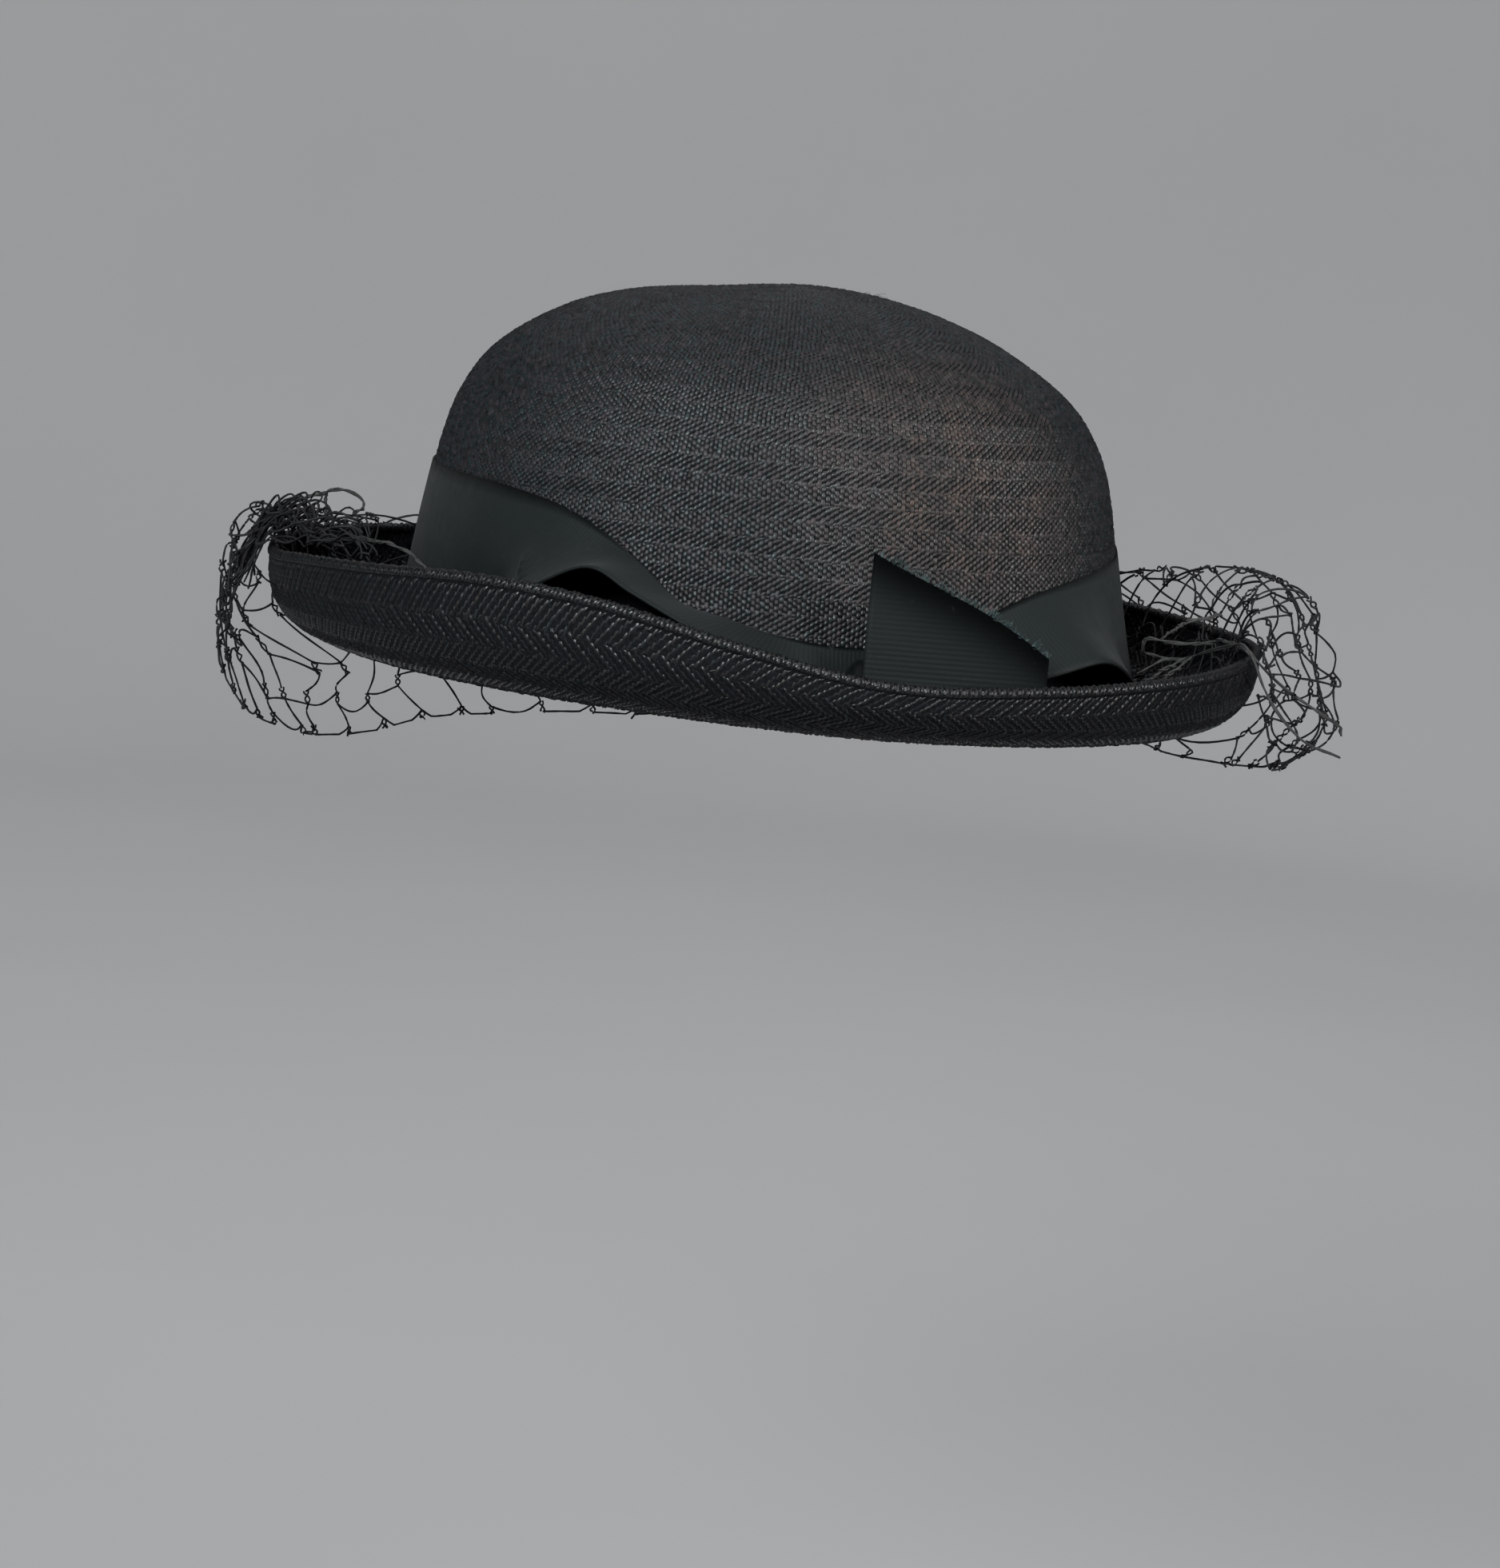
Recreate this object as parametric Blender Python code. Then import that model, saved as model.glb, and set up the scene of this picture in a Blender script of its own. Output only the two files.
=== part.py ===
"""A woman's straw bowler: blocked crown, turned-up brim, ribbon band with a bow, and a short net veil.

Lengths are metres. +Z is up, +Y is the front of the hat, -Y its back where the bow sits, and +X the
side on the right when the hat is seen from behind. The origin is the middle of the head opening, on
the plane that a head fills. Angles run round the hat in degrees: 0 at +X, 90 at the front, 270 at
the back.
"""

import math
from collections import namedtuple

import bmesh
import bpy
from mathutils import Vector

# Crown, measured on the outside of the straw
CROWN_WIDTH = 0.1616
CROWN_LENGTH = 0.1920
CROWN_RISE = 0.0862
HEADLINE_HEIGHT = 0.0030
OVAL_POWER = 2.1
DENT_DEPTH = 0.0020

# Straw and the clearance between neighbouring pieces
STRAW_WALL = 0.0012
FIT_GAP = 0.0003

# Brim, from the headline out to the rolled edge
BRIM_REACH = 0.0300
BRIM_FLIP = 0.0200
TROUGH_RUN = 0.0090
TROUGH_DROP = 0.0029
HEEL_OVERHANG = 0.0009
HEEL_DROP = 0.0053
EDGE_BEAD = 0.0024
COLLAR_RISE = 0.0110
COLLAR_BEND = 0.0045

# Ribbon: the band and the bow are cut from the same one
RIBBON_WIDTH = 0.0395
RIBBON_WALL = 0.0010
BAND_LIFT = 0.0019
BAND_LEAN = 0.0220
BAND_LEAN_CURVE = 1.25
KNOT_ANGLE = 271.5
KNOT_WIDTH = 0.0150
KNOT_HEIGHT = 0.0105
KNOT_DEPTH = 0.0062
KNOT_SQUARENESS = 2.6
KNOT_END_PINCH = 0.85
KNOT_WAIST = 0.10
TAIL_CORNER = 0.0356
TAIL_CUT_DROP = 0.0195
TAIL_ANGLE = 269.3
TAIL_YAW = 3.0
TAIL_BULGE = 0.0012
TAIL_ROOT_WIDTH = 0.0150
TAIL_ROOT_RISE = 0.0080

# Veil
VEIL_SEAT = 0.0009
VEIL_ARCH = 0.0150
VEIL_REACH = 0.0175
VEIL_DROP = 0.0275
VEIL_START = -31.0
VEIL_END = 174.0
NET_BAR = 0.0013
NET_THICKNESS = 0.0010
NET_ZIGZAG = 0.17

# Facets
SEGMENTS = 64
CROWN_RINGS = 10
RING_CROWDING = 1.8
BRIM_STEPS = 5
SHARP_ANGLE = 40.0
BEAD_POINTS = 5
BAND_ROWS = 4
NET_COLUMNS = 22
NET_ROWS = 5

# Crown profile: height as a share of CROWN_RISE, reach as a share of the oval
CrownRow = namedtuple("CrownRow", "height reach")
CROWN_PROFILE = (
    CrownRow(height=0.000, reach=1.000),
    CrownRow(height=0.150, reach=0.978),
    CrownRow(height=0.350, reach=0.949),
    CrownRow(height=0.540, reach=0.913),
    CrownRow(height=0.655, reach=0.873),
    CrownRow(height=0.770, reach=0.791),
    CrownRow(height=0.885, reach=0.613),
    CrownRow(height=0.950, reach=0.420),
    CrownRow(height=1.000, reach=0.000),
)

# Dents: place and spread as shares of half the width, half the length and the rise, depth as a
# share of DENT_DEPTH
Dent = namedtuple("Dent", "across along height spread_across spread_along spread_height depth")
DENTS = (
    Dent(across=-0.19, along=-0.05, height=1.00, spread_across=0.20, spread_along=0.45,
         spread_height=0.20, depth=0.90),
    Dent(across=0.66, along=-0.15, height=0.84, spread_across=0.30, spread_along=0.50,
         spread_height=0.22, depth=0.75),
    Dent(across=-0.55, along=0.60, height=0.80, spread_across=0.28, spread_along=0.30,
         spread_height=0.22, depth=0.35),
)

# Brim round the hat: reach as a share of BRIM_REACH, height of the edge as a share of BRIM_FLIP
BrimRow = namedtuple("BrimRow", "angle reach height")
BRIM_ROWS = (
    BrimRow(angle=0, reach=0.98, height=0.93),
    BrimRow(angle=45, reach=0.99, height=0.97),
    BrimRow(angle=90, reach=1.00, height=0.97),
    BrimRow(angle=150, reach=1.00, height=1.03),
    BrimRow(angle=175, reach=0.99, height=0.99),
    BrimRow(angle=190, reach=0.98, height=1.10),
    BrimRow(angle=207, reach=0.97, height=1.21),
    BrimRow(angle=225, reach=0.97, height=1.32),
    BrimRow(angle=240, reach=0.98, height=1.25),
    BrimRow(angle=255, reach=1.00, height=0.97),
    BrimRow(angle=270, reach=1.04, height=0.71),
    BrimRow(angle=285, reach=1.07, height=0.75),
    BrimRow(angle=305, reach=1.05, height=0.86),
    BrimRow(angle=332, reach=0.99, height=0.97),
)

# Band round the hat: the angle and height of its upper edge, and how far its lower edge swings
# back along the hat, leans out and lies above the headline. Heights are shares of RIBBON_WIDTH,
# the lean a share of BAND_LEAN, and the swing is in degrees
BandRow = namedtuple("BandRow", "angle top swing lean foot")
BAND_ROWS_ROUND = (
    BandRow(angle=0, top=0.900, swing=0, lean=0.04, foot=0.00),
    BandRow(angle=45, top=0.970, swing=0, lean=0.00, foot=0.00),
    BandRow(angle=100, top=1.000, swing=0, lean=0.00, foot=0.00),
    BandRow(angle=160, top=0.945, swing=0, lean=0.00, foot=0.00),
    BandRow(angle=188, top=0.945, swing=0, lean=0.02, foot=0.00),
    BandRow(angle=204, top=0.940, swing=-1, lean=0.10, foot=0.01),
    BandRow(angle=213, top=0.915, swing=-3, lean=0.24, foot=0.08),
    BandRow(angle=221, top=0.865, swing=-2, lean=0.62, foot=0.30),
    BandRow(angle=229, top=0.758, swing=-1, lean=0.90, foot=0.50),
    BandRow(angle=236, top=0.615, swing=-1, lean=0.98, foot=0.63),
    BandRow(angle=243, top=0.450, swing=-2, lean=1.00, foot=0.53),
    BandRow(angle=250, top=0.400, swing=-2, lean=0.96, foot=0.39),
    BandRow(angle=257, top=0.345, swing=-2, lean=0.66, foot=0.22),
    BandRow(angle=264, top=0.320, swing=0, lean=0.20, foot=0.05),
    BandRow(angle=271, top=0.320, swing=0, lean=0.01, foot=0.00),
    BandRow(angle=279, top=0.380, swing=1, lean=0.06, foot=0.02),
    BandRow(angle=288, top=0.485, swing=1, lean=0.34, foot=0.14),
    BandRow(angle=296, top=0.588, swing=1, lean=0.56, foot=0.25),
    BandRow(angle=303, top=0.652, swing=1, lean=0.70, foot=0.32),
    BandRow(angle=312, top=0.710, swing=0, lean=0.60, foot=0.22),
    BandRow(angle=323, top=0.760, swing=-1, lean=0.28, foot=0.10),
    BandRow(angle=340, top=0.810, swing=0, lean=0.10, foot=0.01),
)

# Veil round the hat: shares of VEIL_ARCH, VEIL_REACH and VEIL_DROP
VeilRow = namedtuple("VeilRow", "angle arch reach hem")
VEIL_ROWS = (
    VeilRow(angle=-31, arch=0.70, reach=1.02, hem=0.24),
    VeilRow(angle=0, arch=0.88, reach=1.20, hem=0.46),
    VeilRow(angle=35, arch=0.34, reach=1.05, hem=0.62),
    VeilRow(angle=90, arch=0.30, reach=0.90, hem=0.90),
    VeilRow(angle=130, arch=0.24, reach=0.72, hem=1.14),
    VeilRow(angle=155, arch=0.34, reach=0.64, hem=1.02),
    VeilRow(angle=174, arch=0.36, reach=0.60, hem=0.62),
)

# The veil's course from the trough to the hem: how far out from the brim's edge, as a share of the
# veil's reach, and how high, as shares of the edge's height, the arch and the drop
VeilStep = namedtuple("VeilStep", "reach edge arch hem")
VEIL_COURSE = (
    VeilStep(reach=-0.10, edge=1.00, arch=0.80, hem=0.00),
    VeilStep(reach=0.45, edge=1.00, arch=0.95, hem=0.00),
    VeilStep(reach=0.95, edge=0.72, arch=0.00, hem=0.00),
    VeilStep(reach=1.00, edge=0.00, arch=0.00, hem=0.15),
    VeilStep(reach=0.40, edge=0.00, arch=0.00, hem=1.00),
)

HALF_WIDTH = CROWN_WIDTH / 2
HALF_LENGTH = CROWN_LENGTH / 2
COLLAR_OFFSET = STRAW_WALL + FIT_GAP + STRAW_WALL
CROWN_SEAT = COLLAR_BEND - STRAW_WALL - FIT_GAP
BEAD_RADIUS = EDGE_BEAD / 2
BEAD_SEAT = 0.8
BEAD_SWEEP = 130.0
DENT_FOCUS = HEADLINE_HEIGHT + CROWN_RISE / 3
VEIL_ROOT = 4
VEIL_RISE_STEP = 7
VEIL_BRIM_STEPS = 10
VEIL_RISE_ARCH = 0.25
VEIL_RISE_IN = 0.12


def clear_scene():
    """Remove every object that the scene starts with."""
    for thing in list(bpy.data.objects):
        bpy.data.objects.remove(thing, do_unlink=True)


def material(name, colour, roughness):
    """Return a plain material of one colour and roughness."""
    made = bpy.data.materials.new(name)
    made.use_nodes = True
    shader = made.node_tree.nodes["Principled BSDF"]
    shader.inputs["Base Color"].default_value = (*colour, 1.0)
    shader.inputs["Roughness"].default_value = roughness
    shader.inputs["Metallic"].default_value = 0.0
    made.diffuse_color = (*colour, 1.0)
    return made


def read_table(rows, key, column, at, period=None):
    """Read a column of a table on a smooth curve through its rows."""
    keys = [getattr(row, key) for row in rows]
    values = [getattr(row, column) for row in rows]
    if period:
        keys = [keys[-1] - period] + keys + [keys[0] + period]
        values = [values[-1]] + values + [values[0]]
        at = keys[1] + (at - keys[1]) % period
    at = min(max(at, keys[0]), keys[-1])
    last = len(keys) - 1
    i = max(j for j in range(last) if keys[j] <= at)

    def slope(j):
        """Return the curve's slope at row j."""
        if period and j == 0:
            return (values[1] - values[-3]) / (keys[1] - keys[-3] + period)
        if period and j == last:
            return (values[2] - values[-2]) / (keys[2] - keys[-2] + period)
        low = max(j - 1, 0)
        high = min(j + 1, last)
        return (values[high] - values[low]) / (keys[high] - keys[low])

    span = keys[i + 1] - keys[i]
    t = (at - keys[i]) / span
    near = (1 + 2 * t) * (1 - t) ** 2 * values[i] + t * (1 - t) ** 2 * span * slope(i)
    far = t * t * (3 - 2 * t) * values[i + 1] + t * t * (t - 1) * span * slope(i + 1)
    return near + far


def oval(angle):
    """Return the headline's outer oval at an angle, as a point in plan."""
    turn = math.radians(angle)
    power = 2 / OVAL_POWER
    x = math.copysign(abs(math.cos(turn)) ** power, math.cos(turn))
    y = math.copysign(abs(math.sin(turn)) ** power, math.sin(turn))
    return Vector((HALF_WIDTH * x, HALF_LENGTH * y, 0))


def outward(angle):
    """Return the level direction that points straight out of the oval."""
    place = oval(angle)
    return Vector((place.x / HALF_WIDTH ** 2, place.y / HALF_LENGTH ** 2, 0)).normalized()


def crown_reach(height):
    """Return how much of the oval the crown fills at a share of its rise."""
    rows = [CrownRow(row.height, row.reach ** 2) for row in CROWN_PROFILE]
    return math.sqrt(max(read_table(rows, "height", "reach", height), 0))


def dented(point, height):
    """Return a point of the crown moved in by the dents near it."""
    depth = 0
    for dent in DENTS:
        across = (point.x / HALF_WIDTH - dent.across) / dent.spread_across
        along = (point.y / HALF_LENGTH - dent.along) / dent.spread_along
        up = (height - dent.height) / dent.spread_height
        depth += dent.depth * DENT_DEPTH * math.exp(-(across ** 2 + along ** 2 + up ** 2))
    middle = Vector((0, 0, DENT_FOCUS))
    return point - (point - middle).normalized() * depth


def crown_point(angle, height):
    """Return a point of the crown's outer face at an angle and a share of its rise."""
    place = oval(angle) * crown_reach(height)
    place.z = HEADLINE_HEIGHT + CROWN_RISE * height
    return dented(place, height)


def wall_set_back(angle, lift):
    """Return how far the crown has drawn in at a height above the headline."""
    reach = crown_reach(max(lift, 0) / CROWN_RISE)
    return (oval(angle) * (reach - 1)).dot(outward(angle))


def at_section(angle, out, height):
    """Return the point that lies a way out from the headline's oval at a height above the mount."""
    return oval(angle) + outward(angle) * out + Vector((0, 0, height))


def curve_point(controls, t):
    """Return the point of a cubic curve with four control points in a section."""
    weights = ((1 - t) ** 3, 3 * t * (1 - t) ** 2, 3 * t * t * (1 - t), t ** 3)
    out = sum(weight * point[0] for weight, point in zip(weights, controls))
    height = sum(weight * point[1] for weight, point in zip(weights, controls))
    return out, height


def brim_edge(angle):
    """Return the reach and the height of the brim's rolled edge at an angle."""
    reach = BRIM_REACH * read_table(BRIM_ROWS, "angle", "reach", angle, 360)
    height = BRIM_FLIP * read_table(BRIM_ROWS, "angle", "height", angle, 360)
    return reach, height


def brim_under(angle, steps):
    """Return the brim's under face from the headline to the edge, as section points."""
    reach, height = brim_edge(angle)
    controls = (
        (0, HEADLINE_HEIGHT),
        (TROUGH_RUN, HEADLINE_HEIGHT - TROUGH_DROP),
        (reach + HEEL_OVERHANG, HEADLINE_HEIGHT - HEEL_DROP),
        (reach, height - (1 + BEAD_SEAT) * BEAD_RADIUS),
    )
    return [curve_point(controls, i / steps) for i in range(steps + 1)]


def offset_line(points, distance):
    """Return a section line moved to its left by a distance."""
    moved = []
    for i, (out, height) in enumerate(points):
        before = points[max(i - 1, 0)]
        after = points[min(i + 1, len(points) - 1)]
        along = Vector((after[0] - before[0], after[1] - before[1])).normalized()
        moved.append((out - along.y * distance, height + along.x * distance))
    return moved


def brim_section(angle):
    """Return the closed outline of the brim: collar, bend, trough, flip and rolled edge."""
    collar_out = wall_set_back(angle, COLLAR_BEND) - COLLAR_OFFSET
    top_out = wall_set_back(angle, COLLAR_RISE) - COLLAR_OFFSET
    bend_low = HEADLINE_HEIGHT - collar_out * TROUGH_DROP / TROUGH_RUN
    start = (collar_out, HEADLINE_HEIGHT + COLLAR_BEND)
    bend = (
        (start[0] + 2 * collar_out) / 4,
        (start[1] + 2 * bend_low + HEADLINE_HEIGHT) / 4,
    )
    under = [(top_out, HEADLINE_HEIGHT + COLLAR_RISE), start, bend] + brim_under(angle, BRIM_STEPS)
    upper = offset_line(under, STRAW_WALL)
    tip = Vector(((under[-1][0] + upper[-1][0]) / 2, (under[-1][1] + upper[-1][1]) / 2))
    rise = Vector((under[-1][0] - under[-2][0], under[-1][1] - under[-2][1])).normalized()
    side = Vector((rise.y, -rise.x))
    centre = tip + rise * BEAD_RADIUS * BEAD_SEAT
    bead = []
    for i in range(BEAD_POINTS):
        turn = math.radians(BEAD_SWEEP * (1 - 2 * i / (BEAD_POINTS - 1)))
        spot = centre + (rise * math.cos(turn) + side * math.sin(turn)) * BEAD_RADIUS
        bead.append((spot.x, spot.y))
    return under + bead + upper[::-1]


def make_object(name, points, faces, finish):
    """Return an object made of points and faces, with its faces turned outwards."""
    mesh = bpy.data.meshes.new(name)
    mesh.from_pydata([tuple(point) for point in points], [], faces)
    work = bmesh.new()
    work.from_mesh(mesh)
    bmesh.ops.recalc_face_normals(work, faces=work.faces)
    work.to_mesh(mesh)
    work.free()
    mesh.materials.append(finish)
    mesh.shade_smooth()
    mesh.set_sharp_from_angle(angle=math.radians(SHARP_ANGLE))
    made = bpy.data.objects.new(name, mesh)
    bpy.context.scene.collection.objects.link(made)
    return made


def ring_faces(rows, columns, closed):
    """Return the faces of a grid of rows whose columns close on themselves, or don't."""
    faces = []
    for row in range(rows - 1):
        for column in range(columns if closed else columns - 1):
            following = (column + 1) % columns
            low = row * columns
            high = low + columns
            faces.append((low + column, low + following, high + following, high + column))
    return faces


def thicken(made, wall, offset):
    """Give a sheet its wall, on the side that the offset says."""
    solid = made.modifiers.new("wall", "SOLIDIFY")
    solid.thickness = wall
    solid.offset = offset
    solid.use_even_offset = True
    solid.use_rim = True
    return made


def build_crown(finish):
    """Build the blocked crown, a dome open at the bottom."""
    points = []
    seat = CROWN_SEAT / CROWN_RISE
    for ring in range(CROWN_RINGS):
        height = seat + (1 - seat) * (1 - (1 - ring / CROWN_RINGS) ** RING_CROWDING)
        points += [crown_point(360 * i / SEGMENTS, height) for i in range(SEGMENTS)]
    points.append(crown_point(0, 1))
    faces = ring_faces(CROWN_RINGS, SEGMENTS, True)
    last = (CROWN_RINGS - 1) * SEGMENTS
    tip = len(points) - 1
    faces += [(last + i, last + (i + 1) % SEGMENTS, tip) for i in range(SEGMENTS)]
    return thicken(make_object("crown", points, faces, finish), STRAW_WALL, -1)


def build_brim(finish):
    """Build the brim with the collar that stands inside the crown."""
    sections = []
    for i in range(SEGMENTS):
        angle = 360 * i / SEGMENTS
        sections.append([at_section(angle, *spot) for spot in brim_section(angle)])
    around = len(sections[0])
    points = [point for section in sections for point in section]
    faces = ring_faces(SEGMENTS, around, True)
    last = (SEGMENTS - 1) * around
    for i in range(around):
        following = (i + 1) % around
        faces.append((last + i, last + following, following, i))
    return make_object("brim", points, faces, finish)


def band_point(angle, down):
    """Return a point of the band's inner face, down from its upper edge to its lower one."""
    top = BAND_LIFT + RIBBON_WIDTH * read_table(BAND_ROWS_ROUND, "angle", "top", angle, 360)
    foot = BAND_LIFT + RIBBON_WIDTH * read_table(BAND_ROWS_ROUND, "angle", "foot", angle, 360)
    lean = BAND_LEAN * max(read_table(BAND_ROWS_ROUND, "angle", "lean", angle, 360), 0)
    swing = read_table(BAND_ROWS_ROUND, "angle", "swing", angle, 360)
    lift = top + (foot - top) * down
    there = angle + swing * down
    out = wall_set_back(there, lift) + FIT_GAP + lean * down ** BAND_LEAN_CURVE
    return at_section(there, out, HEADLINE_HEIGHT + lift)


def build_band(finish):
    """Build the ribbon band, which drops and leans out over the trough towards the bow."""
    points = []
    for row in range(BAND_ROWS + 1):
        points += [band_point(360 * i / SEGMENTS, row / BAND_ROWS) for i in range(SEGMENTS)]
    faces = ring_faces(BAND_ROWS + 1, SEGMENTS, True)
    band = make_object("hat_band", points, faces, finish)
    return thicken(band, RIBBON_WALL, 1)


def build_knot(finish):
    """Build the wrapped knot of the bow, in front of the band at the back of the hat."""
    sections = 8
    around = 12
    outwards = outward(KNOT_ANGLE)
    sideways = Vector((-outwards.y, outwards.x, 0))
    back = FIT_GAP + RIBBON_WALL + FIT_GAP
    centre = at_section(KNOT_ANGLE, back + KNOT_DEPTH / 2,
                        HEADLINE_HEIGHT + BAND_LIFT + KNOT_HEIGHT / 2)
    points = []
    for i in range(sections):
        side = -1 + 2 * i / (sections - 1)
        waist = 1 - KNOT_WAIST * math.cos(2 * math.pi * side)
        pinch = (1 - KNOT_END_PINCH * abs(side) ** 6) * waist
        for j in range(around):
            turn = 2 * math.pi * (j + 0.5) / around
            power = 2 / KNOT_SQUARENESS
            deep = math.copysign(abs(math.cos(turn)) ** power, math.cos(turn)) * pinch
            high = math.copysign(abs(math.sin(turn)) ** power, math.sin(turn)) * pinch
            points.append(
                centre
                + sideways * side * KNOT_WIDTH / 2
                + outwards * deep * KNOT_DEPTH / 2
                + Vector((0, 0, high * KNOT_HEIGHT / 2))
            )
    faces = ring_faces(sections, around, True)
    faces.append(tuple(range(around)))
    faces.append(tuple(range((sections - 1) * around, sections * around)))
    return make_object("bow_knot", points, faces, finish)


def tail_point(across, up):
    """Return a point of the tail, by its share across the ribbon and its share of the height."""
    outwards = outward(TAIL_ANGLE)
    sideways = Vector((-outwards.y, outwards.x, 0))
    turn = math.radians(TAIL_YAW)
    run = sideways * math.cos(turn) - outwards * math.sin(turn)
    clear = FIT_GAP + RIBBON_WALL + FIT_GAP + KNOT_DEPTH + FIT_GAP
    corner = at_section(TAIL_ANGLE, clear, 0)
    top = TAIL_CORNER - TAIL_CUT_DROP * across
    height = BAND_LIFT + (top - BAND_LIFT) * up
    open_share = min((height - BAND_LIFT) / TAIL_ROOT_RISE, 1)
    width = TAIL_ROOT_WIDTH + (RIBBON_WIDTH - TAIL_ROOT_WIDTH) * open_share
    place = corner + run * width * across
    place += outwards * (TAIL_BULGE * math.sin(math.pi * across) + width * math.sin(turn) * across)
    place.z = HEADLINE_HEIGHT + height
    return place


def build_tail(finish):
    """Build the upright tail of the bow, cut on a slant."""
    columns = 8
    rows = 7
    points = []
    for row in range(rows):
        points += [tail_point(i / (columns - 1), row / (rows - 1)) for i in range(columns)]
    faces = ring_faces(rows, columns, False)
    return thicken(make_object("bow_tail", points, faces, finish), RIBBON_WALL, 1)


def veil_line(angle):
    """Return the veil's course at an angle: trough, arch over the edge, belly and hem."""
    reach, height = brim_edge(angle)
    arch = VEIL_ARCH * read_table(VEIL_ROWS, "angle", "arch", angle)
    belly = VEIL_REACH * read_table(VEIL_ROWS, "angle", "reach", angle)
    hem = VEIL_DROP * read_table(VEIL_ROWS, "angle", "hem", angle)
    upper = offset_line(brim_under(angle, VEIL_BRIM_STEPS), STRAW_WALL + VEIL_SEAT)
    rising = upper[VEIL_RISE_STEP]
    line = [
        upper[VEIL_ROOT],
        (rising[0] - belly * VEIL_RISE_IN, rising[1] + arch * VEIL_RISE_ARCH),
    ]
    for step in VEIL_COURSE:
        lift = height * step.edge + arch * step.arch - hem * step.hem
        line.append((reach + belly * step.reach, lift))
    return line


def veil_point(angle, down):
    """Return the point of the veil at an angle and a share of the way down its course."""
    line = veil_line(angle)
    spot = down * (len(line) - 1)
    i = min(int(spot), len(line) - 2)
    t = spot - i
    before = line[max(i - 1, 0)]
    after = line[min(i + 2, len(line) - 1)]
    near = line[i]
    far = line[i + 1]

    def blend(k):
        """Return one coordinate on the smooth curve through four points."""
        start = (far[k] - before[k]) / 2
        end = (after[k] - near[k]) / 2
        steady = (1 + 2 * t) * (1 - t) ** 2 * near[k] + t * t * (3 - 2 * t) * far[k]
        return steady + t * (1 - t) ** 2 * start + t * t * (t - 1) * end

    return at_section(angle, blend(0), blend(1))


def build_veil(finish):
    """Build the veil as a coarse net of six-sided cells, each cut through."""
    steps = 2 * NET_COLUMNS + 1
    points = []
    for line in range(NET_ROWS + 1):
        for step in range(steps + 1):
            bend = -NET_ZIGZAG if (step - line) % 2 else NET_ZIGZAG
            down = 1 - (line + bend + NET_ZIGZAG) / (NET_ROWS + 2 * NET_ZIGZAG)
            angle = VEIL_START + (VEIL_END - VEIL_START) * step / steps
            points.append(veil_point(angle, down))
    cells = []
    for line in range(NET_ROWS):
        low = line * (steps + 1)
        high = low + steps + 1
        for step in range(line % 2, steps - 1, 2):
            cells.append((low + step, low + step + 1, low + step + 2,
                          high + step + 2, high + step + 1, high + step))
    veil = make_object("veil", points, cells, finish)
    work = bmesh.new()
    work.from_mesh(veil.data)
    holes = list(work.faces)
    bmesh.ops.inset_individual(work, faces=holes, thickness=NET_BAR / 2, use_even_offset=True)
    bmesh.ops.delete(work, geom=holes, context="FACES_ONLY")
    loose = [vert for vert in work.verts if not vert.link_faces]
    bmesh.ops.delete(work, geom=loose, context="VERTS")
    work.to_mesh(veil.data)
    work.free()
    return thicken(veil, NET_THICKNESS, 1)


def build_hat():
    """Build every piece of the hat."""
    clear_scene()
    straw = material("black_straw", (0.020, 0.021, 0.023), 0.34)
    ribbon = material("black_grosgrain", (0.013, 0.018, 0.019), 0.62)
    thread = material("black_net_thread", (0.010, 0.010, 0.011), 0.55)
    build_crown(straw)
    build_brim(straw)
    build_band(ribbon)
    build_knot(ribbon)
    build_tail(ribbon)
    build_veil(thread)


build_hat()
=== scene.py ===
"""Dresses the straw bowler: woven straw, ribbed ribbon with a bow, and a net veil.

Lengths are metres in the frame of the solids. +Z is up, +Y the front of the hat and -Y its back,
where the bow sits. Angles run round the hat in degrees, 0 at +X and 270 at the back.
"""

import logging
import math
from dataclasses import dataclass, field
from enum import Enum
from typing import Callable, NamedTuple, Sequence

import bpy
import numpy as np
from mathutils import Matrix, Vector


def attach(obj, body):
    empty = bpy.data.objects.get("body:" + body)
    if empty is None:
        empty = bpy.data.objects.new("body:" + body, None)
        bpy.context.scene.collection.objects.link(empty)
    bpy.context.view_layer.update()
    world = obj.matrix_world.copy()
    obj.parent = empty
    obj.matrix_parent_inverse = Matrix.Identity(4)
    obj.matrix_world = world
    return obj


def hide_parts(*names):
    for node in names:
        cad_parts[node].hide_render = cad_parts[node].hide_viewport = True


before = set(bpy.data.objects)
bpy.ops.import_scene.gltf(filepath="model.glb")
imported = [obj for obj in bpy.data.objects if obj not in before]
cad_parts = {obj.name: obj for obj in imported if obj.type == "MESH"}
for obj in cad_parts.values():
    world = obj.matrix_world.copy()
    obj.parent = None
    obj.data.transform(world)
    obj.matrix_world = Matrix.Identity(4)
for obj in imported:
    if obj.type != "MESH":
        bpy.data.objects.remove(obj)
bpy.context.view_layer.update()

LOG = logging.getLogger("hat")
SEED = 41
PHASE_RANGE = 6.28
RING_STEPS = 121
INNER_RIB = 0.25
Shape = np.ndarray


class CrownRow(NamedTuple):
    """Crown profile: height as a share of the rise, reach as a share of the oval."""

    height: float
    reach: float


class Dent(NamedTuple):
    """A dent: place and spread as shares of half width, half length and rise, and its depth."""

    across: float
    along: float
    height: float
    wide: float
    long: float
    tall: float
    depth: float


class BrimRow(NamedTuple):
    """Brim edge: reach and height as shares of the brim's reach and flip."""

    angle: float
    reach: float
    height: float


class BandRow(NamedTuple):
    """Band: top and foot as shares of the ribbon's width, a share of the lean, swing in degrees."""

    angle: float
    top: float
    swing: float
    lean: float
    foot: float


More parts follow.
